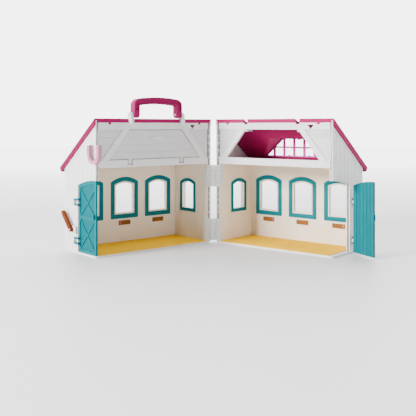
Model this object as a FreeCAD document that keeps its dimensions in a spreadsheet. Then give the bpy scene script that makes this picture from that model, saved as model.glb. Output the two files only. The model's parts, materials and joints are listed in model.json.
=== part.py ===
import FreeCAD, Part
import math
import os
import Sketcher

# Toy stable: a hinged carry case of two half stables that opens like a book.
# Each half is drawn in its own directions: across runs from the case hinge along the open face,
# deep runs from the parting plane to the back wall, and up is vertical. Lengths are millimetres.

doc = FreeCAD.newDocument("ToyStable")
sheet = doc.addObject("Spreadsheet::Sheet", "Sizes")

SIZES = {
    # Case
    "stable_length": 238.4,
    "half_depth": 100.0,
    "hinge_offset": 6.6,
    "parting_gap": 0.2,
    "half_yaw_angle": 40.0,
    "cut_overrun": 1.0,
    # Base and bedding
    "base_thickness": 3.0,
    "base_corner": 4.0,
    "straw_thickness": 1.0,
    "straw_front_margin": 0.5,
    "threshold_width": 8.6,
    "threshold_rib": 0.8,
    "threshold_rib_pitch": 1.5,
    "threshold_rib_height": 0.4,
    # Walls
    "shell_wall": 2.2,
    "liner_wall": 1.5,
    "door_wall": 5.6,
    "hinge_wall": 8.0,
    "back_wall": 5.0,
    "loft_level": 142.7,
    "loft_floor_thickness": 1.6,
    "cell_rib": 2.2,
    "cell_depth": 14.0,
    "cell_top_margin": 9.0,
    "edge_rib": 1.8,
    "low_rib_drop": 5.4,
    "edge_rib_depth": 10.0,
    "board_groove": 0.9,
    "board_groove_depth": 0.4,
    "bargeboard_relief": 0.6,
    "bargeboard_drop": 1.6,
    "bargeboard_width": 3.4,
    # Roof
    "ridge_height": 222.3,
    "roof_slope_angle": 36.05,
    "roof_skin": 2.4,
    "roof_lip": 8.6,
    "roof_door_overhang": 2.3,
    "roof_hinge_overhang": 1.1,
    "eave_reach": 114.5,
    "ridge_lip_height": 6.8,
    "ridge_lip": 2.2,
    "roof_hook_width": 5.0,
    "roof_hook_drop": 3.0,
    "roof_hook_end": 26.2,
    # Dormer
    "dormer_back": 90.5,
    "dormer_foot_drop": 68.3,
    "dormer_head_drop": 33.3,
    "dormer_foot_end": 44.7,
    "dormer_head_end": 84.2,
    "dormer_wall": 2.4,
    "lattice_thickness": 2.2,
    "lattice_frame": 2.4,
    "lattice_bar": 4.2,
    "lattice_rail": 2.9,
    "lattice_rail_rise": 17.5,
    "lattice_clip_length": 6.0,
    "lattice_clip_rise": 1.2,
    # Windows
    "window_gap": 15.8,
    "window_sill": 44.8,
    "window_apex": 118.8,
    "window_rise": 8.8,
    "window_band": 7.6,
    "window_ledge": 2.8,
    "window_ledge_lip": 1.0,
    "window_ledge_relief": 0.5,
    "window_proud": 1.2,
    "first_window": 49.0,
    "last_window": 42.8,
    "side_window_centre": 56.0,
    "side_window_width": 45.3,
    "side_window_sill": 52.3,
    "side_window_apex": 113.6,
    "side_window_rise": 7.6,
    "side_window_band": 6.2,
    # Stall plates
    "plate_length": 24.5,
    "plate_height": 8.0,
    "plate_thickness": 1.2,
    "plate_centre_height": 37.2,
    # Fascia and its opening
    "fascia_hinge_margin": 6.5,
    "fascia_door_margin": 4.6,
    "fascia_board": 2.4,
    "fascia_panel": 2.0,
    "sill_beam": 11.8,
    "head_beam": 11.5,
    "opening_sill_end": 24.2,
    "opening_head_end": 64.7,
    "opening_corner": 2.0,
    "corner_block_overlap": 3.1,
    "corner_block_width": 6.0,
    "corner_block_drop": 3.7,
    "corner_block_depth": 14.0,
    "diagonal_width": 12.5,
    "snap_end": 41.4,
    "snap_drop": 5.9,
    "snap_peg_radius": 1.8,
    "snap_peg_length": 1.2,
    "snap_clearance": 0.6,
    "snap_hole_width": 12.5,
    "snap_hole_height": 7.4,
    # Loft flap
    "flap_clearance": 0.9,
    "flap_recess": 1.4,
    "flap_thickness": 1.8,
    "flap_grip_length": 20.0,
    "flap_grip_height": 3.6,
    "flap_grip_reach": 3.0,
    "flap_grip_rise": 34.0,
    "flap_pivot_depth": 1.6,
    "flap_pivot_drop": 6.0,
    "flap_barrel_radius": 1.2,
    "flap_pin_radius": 0.6,
    "flap_tongue_width": 6.0,
    "flap_tongue_end": 41.5,
    "flap_pocket_side": 2.0,
    "flap_pocket_drop": 2.6,
    # Case hinges
    "knuckle_radius": 4.6,
    "hinge_pin_radius": 1.5,
    "pin_clearance": 0.06,
    "leaf_depth": 10.7,
    "leaf_groove": 1.6,
    "leaf_groove_depth": 0.8,
    "hinge_height": 39.0,
    "lower_hinge_foot": 4.4,
    "upper_hinge_foot": 101.0,
    "knuckle_gap": 0.4,
    "knuckle_side_gap": 0.6,
    "knuckle_web": 3.4,
    # Doorway and doors
    "door_hinge_out": 1.9,
    "door_hinge_depth": 64.0,
    "door_hinge_edge": 8.4,
    "door_recess": 1.0,
    "door_leaf": 2.8,
    "door_foot": 3.5,
    "door_apex": 122.2,
    "door_rise": 9.5,
    "door_clearance": 0.6,
    "door_stop": 2.1,
    "door_stop_arch": 0.2,
    "door_frame": 5.0,
    "door_brace": 2.6,
    "door_groove": 0.7,
    "door_groove_depth": 0.5,
    "door_relief": 1.2,
    "door_mid_rail": 61.0,
    "door_bar_radius": 1.5,
    "loop_arm": 2.4,
    "loop_height": 11.3,
    "lower_loop": 21.4,
    "upper_loop": 84.8,
    "clip_gap": 0.4,
    "clip_wall": 1.4,
    "door_hook_width": 4.0,
    "door_hook_height": 9.0,
    "door_hook_out": 3.4,
    "door_hook_inset": 3.0,
    "right_door_angle": 62.5,
    # Carry handle
    "handle_half": 49.8,
    "handle_band": 11.4,
    "handle_depth": 12.4,
    "handle_height": 28.8,
    "handle_corner": 12.0,
    "handle_pivot_rise": 7.2,
    "handle_rise": 4.5,
    "handle_channel": 2.6,
    "handle_channel_wall": 2.2,
    "bracket_gap": 0.5,
    "bracket_cheek": 5.8,
    "bracket_half_depth": 6.0,
    "bracket_cap_radius": 4.0,
    "bracket_seat": 1.9,
    "bracket_heel_height": 9.0,
    "bracket_clearance": 0.7,
    "handle_pin_radius": 1.6,
    # Horseshoe latch
    "latch_centre": -5.2,
    "latch_half_width": 16.9,
    "latch_arm": 5.4,
    "latch_foot": 148.9,
    "latch_top": 179.9,
    "latch_standoff": 2.2,
    "latch_thickness": 7.0,
    "latch_rim": 1.4,
    "latch_groove": 1.6,
    "latch_pivot_rise": 12.1,
    "latch_pin_radius": 1.6,
    "latch_pin_head": 2.6,
    "latch_pin_head_length": 1.2,
    "catch_depth": 8.7,
    "catch_height": 157.6,
    "catch_radius": 2.2,
    "catch_length": 1.6,
    # Door bar
    "bar_length": 36.1,
    "bar_width": 7.0,
    "bar_thickness": 5.2,
    "bar_standoff": 4.5,
    "bar_pivot_behind": 2.8,
    "bar_pivot_height": 39.1,
    "bar_tilt_angle": 46.0,
    "bar_pin_radius": 1.2,
    "bar_block_depth": 13.0,
    "bar_block_height": 12.0,
    "bar_block_gap": 0.3,
}

for row, (alias, value) in enumerate(SIZES.items(), start=1):
    sheet.set(f"A{row}", alias)
    sheet.set(f"B{row}", str(value))
    sheet.setAlias(f"B{row}", alias)
doc.recompute()


class Size:
    """A size worked out from the sheet: the text of its formula and its value now."""

    def __init__(self, text, value):
        self.text = text
        self.value = value

    def __add__(self, other):
        other = as_size(other)
        return Size(f"({self.text} + {other.text})", self.value + other.value)

    def __radd__(self, other):
        return as_size(other) + self

    def __sub__(self, other):
        other = as_size(other)
        return Size(f"({self.text} - {other.text})", self.value - other.value)

    def __rsub__(self, other):
        return as_size(other) - self

    def __mul__(self, other):
        other = as_size(other)
        return Size(f"({self.text} * {other.text})", self.value * other.value)

    def __rmul__(self, other):
        return as_size(other) * self

    def __truediv__(self, other):
        other = as_size(other)
        return Size(f"({self.text} / {other.text})", self.value / other.value)

    def __neg__(self):
        return Size(f"(0 - {self.text})", -self.value)


def as_size(item):
    """Give a plain factor the same form as a size."""
    if isinstance(item, Size):
        return item
    return Size(f"({item})", float(item))


def cell(alias):
    """Read one named size of the sheet."""
    return Size(f"Sizes.{alias}", float(sheet.get(alias)))


def turn(function, alias):
    """Take the sine, cosine or tangent of an angle of the sheet, given in degrees."""
    value = getattr(math, function)(math.radians(float(sheet.get(alias))))
    return Size(f"{function}(Sizes.{alias} * 1 deg)", value)


def root(size):
    """Square root of a size worked out from squares."""
    return Size(f"sqrt({size.text})", math.sqrt(size.value))


def arc_radius(half_width, rise):
    """Radius of a low arch from its half width and its rise."""
    return (half_width * half_width + rise * rise) / (2 * rise)


def bind(item, prop, size):
    """Bind one property to a size."""
    item.setExpression(prop, size.text)


ZERO = as_size(0)
UP = FreeCAD.Vector(0, 0, 1)
LEFT, RIGHT = -1, 1
SIDE_NAMES = {LEFT: "left", RIGHT: "right"}


class Outline:
    """A closed outline of runs between points; a run is straight unless it has an arc.

    A coordinate given as a plain number only says where to start: the arc beside it holds it.
    """

    def __init__(self, points, arcs=None):
        self.points = points
        self.arcs = arcs or {}


class Arc:
    """The bow of one run: its centre, and its radius unless its end points give it."""

    def __init__(self, centre, radius=None):
        self.centre = centre
        self.radius = radius


class Circle:
    """A round outline."""

    def __init__(self, centre, radius):
        self.centre = centre
        self.radius = radius


def rectangle(low, high):
    """A rectangle between two corners."""
    return Outline([low, (high[0], low[1]), high, (low[0], high[1])])


def arched(first, last, centre, foot, apex, radius):
    """An opening with upright sides from first to last and a low arch about its centre."""
    top = apex - radius
    spring = [top.value + math.sqrt(radius.value ** 2 - (edge - centre).value ** 2)
              for edge in (last, first)]
    points = [(first, foot), (last, foot), (last, spring[0]), (first, spring[1])]
    return Outline(points, {2: Arc((centre, top), radius)})


class Sketching:
    """Draws outlines in one sketch and holds each point at its size."""

    def __init__(self, sketch, mirror):
        self.sketch = sketch
        self.mirror = mirror

    def hold(self, kind, geometry, point, size):
        """Hold one coordinate of a point, measured from the sketch's origin."""
        if not isinstance(size, Size):
            return
        if size.value == 0:
            axis = -2 if kind == "DistanceX" else -1
            self.sketch.addConstraint(Sketcher.Constraint("PointOnObject", geometry, point, axis))
            return
        index = self.sketch.addConstraint(
            Sketcher.Constraint(kind, -1, 1, geometry, point, size.value))
        self.sketch.setExpression(f"Constraints[{index}]", size.text)

    def place(self, geometry, point, spot):
        """Hold both coordinates of a point."""
        self.hold("DistanceX", geometry, point, self.mirror * spot[0])
        self.hold("DistanceY", geometry, point, spot[1])

    def vector(self, spot):
        """The spot's place now, in the sketch."""
        across, high = [part.value if isinstance(part, Size) else part for part in spot]
        return FreeCAD.Vector(self.mirror * across, high, 0)

    def hold_radius(self, geometry, radius):
        """Hold the radius of a circle or an arc."""
        index = self.sketch.addConstraint(Sketcher.Constraint("Radius", geometry, radius.value))
        self.sketch.setExpression(f"Constraints[{index}]", radius.text)

    def circle(self, item):
        """Draw a round outline."""
        circle = Part.Circle(self.vector(item.centre), UP, item.radius.value)
        index = self.sketch.addGeometry(circle, False)
        self.place(index, 3, item.centre)
        self.hold_radius(index, item.radius)

    def arc(self, arc, start, end):
        """Draw the arc between two spots and give its index and the points that meet them."""
        centre = self.vector(arc.centre)
        circle = Part.Circle(centre, UP, (start - centre).Length)
        angles = [math.atan2(spot.y - centre.y, spot.x - centre.x) for spot in (start, end)]
        first, last = min(angles), max(angles)
        if last - first > math.pi:
            first, last = last, first + 2 * math.pi
        index = self.sketch.addGeometry(Part.ArcOfCircle(circle, first, last), False)
        self.place(index, 3, arc.centre)
        if arc.radius is not None:
            self.hold_radius(index, arc.radius)
        return (index, 1, 2) if angles[0] == first else (index, 2, 1)

    def outline(self, item):
        """Draw a closed outline, run by run."""
        spots = [self.vector(point) for point in item.points]
        runs = []
        for number, spot in enumerate(spots):
            after = spots[(number + 1) % len(spots)]
            if number in item.arcs:
                runs.append(self.arc(item.arcs[number], spot, after))
            else:
                index = self.sketch.addGeometry(Part.LineSegment(spot, after), False)
                runs.append((index, 1, 2))
        for number, point in enumerate(item.points):
            before = runs[number - 1]
            here = runs[number]
            self.sketch.addConstraint(
                Sketcher.Constraint("Coincident", before[0], before[2], here[0], here[1]))
            self.place(here[0], here[1], point)

    def draw(self, items):
        """Draw every outline of the sketch."""
        for item in items:
            if isinstance(item, Circle):
                self.circle(item)
            else:
                self.outline(item)


PLANES = {"deep": "XZ_Plane", "across": "YZ_Plane", "up": "XY_Plane"}


class Piece:
    """One named piece, built from outlines that are carried along one direction of its half."""

    def __init__(self, name, side):
        self.body = doc.addObject("PartDesign::Body", name)
        self.body.Label = name
        self.body.AllowCompound = True
        self.side = side
        self.name = name
        self.count = 0

    def sketch(self, direction, items, start):
        """Draw outlines square to a direction, at a distance along it."""
        self.count += 1
        sketch = self.body.newObject("Sketcher::SketchObject", f"{self.name}_outline{self.count}")
        plane = [part for part in self.body.Origin.OriginFeatures
                 if part.Role == PLANES[direction]][0]
        sketch.AttachmentSupport = (plane, [""])
        sketch.MapMode = "FlatFace"
        facing = {"deep": -1, "across": self.side, "up": 1}[direction]
        bind(sketch, "AttachmentOffset.Base.z", facing * start)
        mirror = 1 if direction == "across" else self.side
        Sketching(sketch, mirror).draw(items)
        return sketch, facing < 0

    def add(self, direction, items, start, end):
        """Add material from start to end along a direction."""
        sketch, backwards = self.sketch(direction, items, start)
        pad = self.body.newObject("PartDesign::Pad", f"{self.name}_pad{self.count}")
        pad.Profile = sketch
        pad.Reversed = backwards
        bind(pad, "Length", end - start)
        return self

    def cut(self, direction, items, start, end):
        """Take material away from start to end along a direction."""
        sketch, backwards = self.sketch(direction, items, start)
        pocket = self.body.newObject("PartDesign::Pocket", f"{self.name}_pocket{self.count}")
        pocket.Profile = sketch
        pocket.Type = "Length"
        pocket.Reversed = not backwards
        bind(pocket, "Length", end - start)
        return self

    def round(self, chosen, radius):
        """Round the edges that the test chooses."""
        doc.recompute()
        before = self.body.Tip
        names = [f"Edge{number}" for number, edge in enumerate(before.Shape.Edges, start=1)
                 if chosen(edge)]
        fillet = self.body.newObject("PartDesign::Fillet", f"{self.name}_round{self.count}")
        fillet.Base = (before, names)
        bind(fillet, "Radius", radius)
        self.body.Tip = fillet
        return self


def upright(edge):
    """Whether an edge runs vertically."""
    run = edge.Vertexes[0].Point - edge.Vertexes[-1].Point
    return abs(run.z) > 0 and abs(run.x) + abs(run.y) < abs(run.z) * TOUCH_SHARE


TOUCH_SHARE = 1e-6
CELLS = 5
KNUCKLES = 5
GABLE_BOARDS = 8
BACK_BOARDS = 19
FASCIA_BOARDS = 4
ROOF_BOARDS = 9
LEAF_GROOVES = 7
LATTICE_BARS = 6
DOOR_PLANKS = 6
EDGE_RIB_SHARES = (0.05, 0.48)

# Places that several pieces share
length = cell("stable_length")
depth = cell("half_depth")
hinge_face = cell("hinge_offset")
front = cell("parting_gap")
over = cell("cut_overrun")
shell = cell("shell_wall")
liner = cell("liner_wall")
floor_top = cell("base_thickness")
loft = cell("loft_level")
door_face = hinge_face + length
middle = hinge_face + length / 2
shell_back = depth - shell
liner_back = depth - cell("back_wall")
liner_back_outer = liner_back + liner
liner_hinge = hinge_face + cell("hinge_wall")
liner_hinge_outer = liner_hinge - liner
liner_door = door_face - cell("door_wall")
liner_door_outer = liner_door + liner
ridge = cell("ridge_height")
pitch_sine = turn("sin", "roof_slope_angle")
pitch_cosine = turn("cos", "roof_slope_angle")
pitch_tangent = turn("tan", "roof_slope_angle")
skin = cell("roof_skin")
lip = cell("roof_lip")
eave_run = cell("eave_reach") / pitch_cosine
fascia_top = ridge - cell("ridge_lip_height")
panel_front = front + cell("fascia_board")
fascia_back = panel_front + cell("fascia_panel")
opening_sill = loft + cell("sill_beam")
opening_head = fascia_top - cell("head_beam")
sill_half = length / 2 - cell("opening_sill_end")
head_half = length / 2 - cell("opening_head_end")
snap_offset = length / 2 - cell("snap_end")
snap_height = fascia_top - cell("snap_drop")
bracket_foot = fascia_top - cell("bracket_seat")
handle_pivot = ridge + cell("handle_pivot_rise")
handle_top = handle_pivot + cell("handle_height")
window_pitch = (length - cell("first_window") - cell("last_window")) / 2
dormer_foot = ridge - cell("dormer_foot_drop")
dormer_head = ridge - cell("dormer_head_drop")
dormer_foot_half = length / 2 - cell("dormer_foot_end")
dormer_head_half = length / 2 - cell("dormer_head_end")
lattice_pitch = dormer_foot_half * 2 / (LATTICE_BARS + 1)
notch_inner = cell("handle_half") + cell("bracket_gap")
notch_outer = notch_inner + cell("bracket_cheek")
bracket_spare = cell("bracket_clearance")


def slope_height(deep, below):
    """Height of the roof at a depth, a distance below its top face measured square to it."""
    return ridge - deep * pitch_tangent - below / pitch_cosine


def slope_spot(run, below):
    """Depth and height of a spot on the roof, by its run from the ridge and its distance below."""
    return (run * pitch_cosine - below * pitch_sine,
            ridge - run * pitch_sine - below * pitch_cosine)


def mirrored_spans(inner, outer):
    """Spans across the face at equal distances on both sides of the middle."""
    return [(middle - outer, middle - inner), (middle + inner, middle + outer)]


def gable(first, foot, below):
    """Outline of a gable wall from first to the back face, up to the roof."""
    return Outline([(first, foot), (depth, foot), (depth, slope_height(depth, below)),
                    (first, slope_height(first, below))])


def window_outline(centre, width, foot, apex, rise, inset):
    """A window outline a distance inside its frame's outer edge."""
    half = width / 2
    radius = arc_radius(half, rise) - inset
    return arched(centre - half + inset, centre + half - inset, centre,
                  foot + inset, apex - inset, radius)


def back_window(number, inset):
    """Outline of one of the back wall's windows."""
    centre = hinge_face + cell("first_window") + number * window_pitch
    return window_outline(centre, window_pitch - cell("window_gap"), cell("window_sill"),
                          cell("window_apex"), cell("window_rise"), inset)


def side_window(inset):
    """Outline of the window in the wall beside the hinges."""
    return window_outline(cell("side_window_centre"), cell("side_window_width"),
                          cell("side_window_sill"), cell("side_window_apex"),
                          cell("side_window_rise"), inset)


WINDOWS = range(3)
window_hole_inset = cell("window_band") + cell("window_ledge")
door_edge = cell("door_hinge_depth") - cell("door_hinge_edge")
door_radius = arc_radius(door_edge, cell("door_rise"))
doorway_spare = cell("door_clearance")
hinge_feet = {"lower": cell("lower_hinge_foot"), "upper": cell("upper_hinge_foot")}
hinge_rise = cell("hinge_height")


def doorway(first, foot, outward, upward):
    """Outline of the half arch of a doorway, wider and higher than the closed leaf."""
    return arched(first, door_edge + outward, ZERO, foot, cell("door_apex") + upward,
                  door_radius + upward)


def board_lines(first, last, boards, low, high):
    """Outlines of the grooves between equal upright boards."""
    step = (last - first) / boards
    half = cell("board_groove") / 2
    return [rectangle((first + number * step - half, low), (first + number * step + half, high))
            for number in range(1, boards)]


def fascia_lines(span):
    """Outlines of the level grooves beside the opening, over the span that each height gives."""
    half = cell("board_groove") / 2
    lines = []
    for number in range(1, FASCIA_BOARDS):
        share = number / FASCIA_BOARDS
        height = opening_sill + (opening_head - opening_sill) * share
        lines += [rectangle((start, height - half), (end, height + half)) for start, end in span(share)]
    return lines


def hinge_notches():
    """Outlines of the notches that the case hinge leaves fill."""
    return [rectangle((ZERO, foot), (cell("leaf_depth"), foot + hinge_rise))
            for foot in hinge_feet.values()]


def make_base(side):
    """Base plate with rounded corners and the ribbed strip in the doorway."""
    piece = Piece(f"{SIDE_NAMES[side]}_base", side)
    piece.add("up", [rectangle((hinge_face, front), (door_face, depth))], ZERO, floor_top)
    piece.round(upright, cell("base_corner"))
    rib = cell("threshold_rib")
    first = door_face - cell("threshold_width")
    ribs = [rectangle((first + number * cell("threshold_rib_pitch"), front),
                      (first + number * cell("threshold_rib_pitch") + rib, door_edge - cell("door_stop")))
            for number in range(3)]
    return piece.add("up", ribs, floor_top, floor_top + cell("threshold_rib_height"))


def make_straw(side):
    """Bedding sheet that lies inside the liner."""
    piece = Piece(f"{SIDE_NAMES[side]}_straw_mat", side)
    last = door_face - cell("threshold_width")
    area = rectangle((liner_hinge, front + cell("straw_front_margin")), (last, liner_back))
    return piece.add("up", [area], floor_top, floor_top + cell("straw_thickness"))


def make_back_shell(side):
    """Outer back wall with its three window holes."""
    piece = Piece(f"{SIDE_NAMES[side]}_back_shell", side)
    top = slope_height(depth, skin)
    wall = rectangle((hinge_face + shell, floor_top), (door_face - shell, top))
    holes = [back_window(number, window_hole_inset) for number in WINDOWS]
    piece.add("deep", [wall] + holes, shell_back, depth)
    lines = board_lines(hinge_face, door_face, BACK_BOARDS, floor_top - over, top + over)
    return piece.cut("deep", lines, depth - cell("board_groove_depth"), depth + over)


def make_hinge_shell(side):
    """Outer gable wall beside the hinges, with the ribs of its hollow front edge."""
    piece = Piece(f"{SIDE_NAMES[side]}_hinge_end_shell", side)
    piece.add("across", [gable(front, floor_top, skin)], hinge_face, hinge_face + shell)
    lines = board_lines(ZERO, depth, GABLE_BOARDS, floor_top - over, ridge)
    piece.cut("across", lines, hinge_face - over, hinge_face + cell("board_groove_depth"))
    piece.cut("across", [side_window(cell("side_window_band"))], hinge_face - over,
              hinge_face + shell + over)
    piece.cut("across", hinge_notches(), hinge_face - over, hinge_face + shell + over)
    rib = cell("cell_rib")
    low = hinge_feet["lower"] + hinge_rise
    high = hinge_feet["upper"] + hinge_rise
    zones = [(low, hinge_feet["upper"]), (high, fascia_top - cell("cell_top_margin"))]
    ribs = []
    for foot, top in zones:
        step = (top - foot - rib) / CELLS
        ribs += [rectangle((front, foot + number * step),
                           (cell("cell_depth"), foot + number * step + rib))
                 for number in range(1, CELLS)]
    return piece.add("across", ribs, hinge_face + shell, liner_hinge_outer)


def make_door_shell(side):
    """Outer gable wall with the doorway, the bargeboard and the clips of the door."""
    piece = Piece(f"{SIDE_NAMES[side]}_door_end_shell", side)
    inner = door_face - shell
    piece.add("across", [gable(front, floor_top, skin)], inner, door_face)
    lines = board_lines(ZERO, depth, GABLE_BOARDS, floor_top - over, ridge)
    piece.cut("across", lines, door_face - cell("board_groove_depth"), door_face + over)
    piece.cut("across", [doorway(-over, floor_top - over, doorway_spare, doorway_spare)], inner - over,
              door_face + over)
    board_top = lip + cell("bargeboard_drop")
    board_foot = board_top + cell("bargeboard_width")
    board = Outline([(front, slope_height(front, board_foot)), (front, slope_height(front, board_top)),
                     (depth, slope_height(depth, board_top)), (depth, slope_height(depth, board_foot))])
    piece.add("across", [board], door_face, door_face + cell("bargeboard_relief"))
    rib = cell("edge_rib")
    feet = [loft + (opening_head - loft) * share for share in EDGE_RIB_SHARES]
    ribs = [rectangle((front, foot), (cell("edge_rib_depth"), foot + rib)) for foot in feet]
    piece.add("across", ribs, door_face - cell("fascia_door_margin"), inner)
    low_top = loft - cell("low_rib_drop")
    low = rectangle((front, low_top - rib), (cell("edge_rib_depth"), low_top))
    piece.add("across", [low], liner_door_outer, inner)
    return add_door_clips(piece)


def add_door_clips(piece):
    """Clips on the wall that hold the two upright bars of the door."""
    axis = cell("door_hinge_depth")
    outward = cell("door_hinge_out")
    bore = cell("door_bar_radius") + cell("pin_clearance")
    reach = bore + cell("clip_wall")
    tall = cell("loop_height") / 2 - cell("loop_arm") - cell("clip_gap")
    for height in (cell("lower_loop"), cell("upper_loop")):
        block = rectangle((door_face, axis - reach), (door_face + outward + reach, axis + reach))
        hole = Circle((door_face + outward, axis), bore)
        piece.add("up", [block, hole], height - tall, height + tall)
    return piece


def make_back_liner(side):
    """Inner back wall with its window holes and the raised line around each ledge."""
    piece = Piece(f"{SIDE_NAMES[side]}_back_liner", side)
    wall = rectangle((liner_hinge, floor_top), (liner_door, loft))
    piece.add("deep", [wall], liner_back, liner_back_outer)
    relief = cell("window_ledge_relief")
    for number in WINDOWS:
        edge = back_window(number, window_hole_inset - cell("window_ledge_lip"))
        piece.add("deep", [edge], liner_back - relief, liner_back)
    for number in WINDOWS:
        hole = back_window(number, window_hole_inset)
        piece.cut("deep", [hole], liner_back - relief - over, liner_back_outer + over)
    return piece


def make_hinge_liner(side):
    """Inner wall beside the hinges with the small window's hole."""
    piece = Piece(f"{SIDE_NAMES[side]}_hinge_end_liner", side)
    piece.add("across", [rectangle((front, floor_top), (liner_back_outer, loft))],
              liner_hinge_outer, liner_hinge)
    edge = cell("side_window_band")
    piece.cut("across", [side_window(edge)], liner_hinge_outer - over, liner_hinge + over)
    piece.add("across", [side_window(edge - liner), side_window(edge)], hinge_face + shell,
              liner_hinge_outer)
    return piece.cut("across", hinge_notches(), liner_hinge_outer - over, liner_hinge + over)


def make_door_liner(side):
    """Inner wall at the door end, whose narrower doorway stops the leaf."""
    piece = Piece(f"{SIDE_NAMES[side]}_door_end_liner", side)
    piece.add("across", [rectangle((front, floor_top), (liner_back_outer, loft))],
              liner_door, liner_door_outer)
    hole = doorway(-over, floor_top - over, -cell("door_stop"), -cell("door_stop_arch"))
    return piece.cut("across", [hole], liner_door - over, liner_door_outer + over)


def make_loft_floor(side):
    """Floor of the loft, carried on the liner's top edges."""
    piece = Piece(f"{SIDE_NAMES[side]}_loft_floor", side)
    area = rectangle((liner_hinge_outer, fascia_back), (liner_door_outer, liner_back_outer))
    return piece.add("up", [area], loft, loft + cell("loft_floor_thickness"))


def opening_outline(inset):
    """Outline of the opening in the fascia, a distance inside its edge."""
    low = opening_sill
    high = opening_head
    wide = sill_half - inset
    narrow = head_half - inset
    return Outline([(middle - wide, low + inset), (middle + wide, low + inset),
                    (middle + narrow, high - inset), (middle - narrow, high - inset)])


def rounded_opening():
    """Outline of the opening with its two lower corners rounded."""
    radius = cell("opening_corner")
    run = sill_half - head_half
    rise = opening_head - opening_sill
    slant = root(run * run + rise * rise)
    across = sill_half - radius * rise / (slant - run)
    up = opening_sill + radius
    touch = across + radius * rise / slant
    touch_height = (up + radius * run / slant).value
    points = [(middle - across, opening_sill), (middle + across, opening_sill),
              (middle + touch, touch_height), (middle + head_half, opening_head),
              (middle - head_half, opening_head), (middle - touch, touch_height)]
    return Outline(points, {1: Arc((middle + across, up)), 5: Arc((middle - across, up))})


def make_fascia(side):
    """Front panel of the loft with raised boards, snap pegs and the notches of the roof."""
    piece = Piece(f"{SIDE_NAMES[side]}_fascia", side)
    first = hinge_face + cell("fascia_hinge_margin")
    last = door_face - cell("fascia_door_margin")
    low = opening_sill
    high = opening_head
    piece.add("deep", [rectangle((first, loft), (last, fascia_top))], panel_front, fascia_back)
    beams = [rectangle((first, loft), (last, low)), rectangle((first, high), (last, fascia_top))]
    for beam in beams:
        piece.add("deep", [beam], front, panel_front)
    wide = sill_half
    narrow = head_half
    board = cell("diagonal_width")
    for hand in (LEFT, RIGHT):
        diagonal = Outline([(middle + hand * wide, low), (middle + hand * (wide + board), low),
                            (middle + hand * (narrow + board), high), (middle + hand * narrow, high)])
        piece.add("deep", [diagonal], front, panel_front)
    opening = rounded_opening() if side == RIGHT else opening_outline(ZERO)
    piece.cut("deep", [opening], front - over, fascia_back + over)
    beside = wide + board + cell("board_groove")
    lines = fascia_lines(lambda share: (
        (first - over, middle - beside + (wide - narrow) * share),
        (middle + beside - (wide - narrow) * share, last + over)))
    piece.cut("deep", lines, panel_front - cell("board_groove"), panel_front + cell("board_groove_depth"))
    if side == RIGHT:
        add_corner_blocks(piece)
    notches = mirrored_spans(notch_inner - bracket_spare, notch_outer + bracket_spare)
    notch_foot = bracket_foot if side == LEFT else bracket_foot - bracket_spare
    for start, end in notches:
        piece.cut("deep", [rectangle((start, notch_foot), (end, fascia_top + over))],
                  front - over, fascia_back + over)
    for start, end in hook_spans():
        piece.cut("deep", [rectangle((start, fascia_top - cell("roof_hook_drop")),
                                     (end, fascia_top + over))], front - over, panel_front)
    peg = cell("snap_peg_radius")
    peg_spot = (middle - side * snap_offset, snap_height)
    hole_spot = middle + side * snap_offset
    piece.add("deep", [Circle(peg_spot, peg)], front - cell("snap_peg_length"), front)
    hole_top = snap_height + peg + cell("snap_clearance")
    hole_half = cell("snap_hole_width") / 2
    hole = Outline([(hole_spot - hole_half, hole_top), (hole_spot + hole_half, hole_top),
                    (hole_spot, hole_top - cell("snap_hole_height"))])
    piece.cut("deep", [hole], front - over, fascia_back + over)
    if side == LEFT:
        cut_flap_pockets(piece)
    return piece


def add_corner_blocks(piece):
    """Boxes behind the opening's upper corners that take the heels of the brackets."""
    inner = head_half - cell("corner_block_overlap")
    for start, end in mirrored_spans(inner, inner + cell("corner_block_width")):
        area = rectangle((start, opening_head - cell("corner_block_drop")), (end, opening_head + over))
        piece.add("deep", [area], panel_front, fascia_back + cell("corner_block_depth"))


def hook_spans():
    """Spans across the face of the hooks under the ridge."""
    half = cell("roof_hook_width") / 2
    centre = length / 2 - cell("roof_hook_end")
    return mirrored_spans(centre - half, centre + half)


flap_axis_height = opening_sill - cell("flap_pivot_drop")
flap_axis_depth = front + cell("flap_pivot_depth")


def tongue_spans(spare):
    """Spans across the face of the flap's hinge tongues, widened by a clearance."""
    half = cell("flap_tongue_width") / 2 + spare
    centre = sill_half - cell("flap_tongue_end")
    return mirrored_spans(centre - half, centre + half)


def cut_flap_pockets(piece):
    """Pockets of the lower beam in which the flap's tongues turn."""
    foot = flap_axis_height - cell("flap_pocket_drop")
    top = opening_sill + over
    for start, end in tongue_spans(cell("flap_pocket_side")):
        piece.cut("deep", [rectangle((start, foot), (end, top))], front - over, fascia_back + over)
    for start, end in tongue_spans(cell("flap_pocket_side") + cell("clip_wall")):
        pin = Circle((flap_axis_depth, flap_axis_height), cell("flap_pin_radius"))
        piece.cut("across", [pin], start, end)
    return piece


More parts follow.
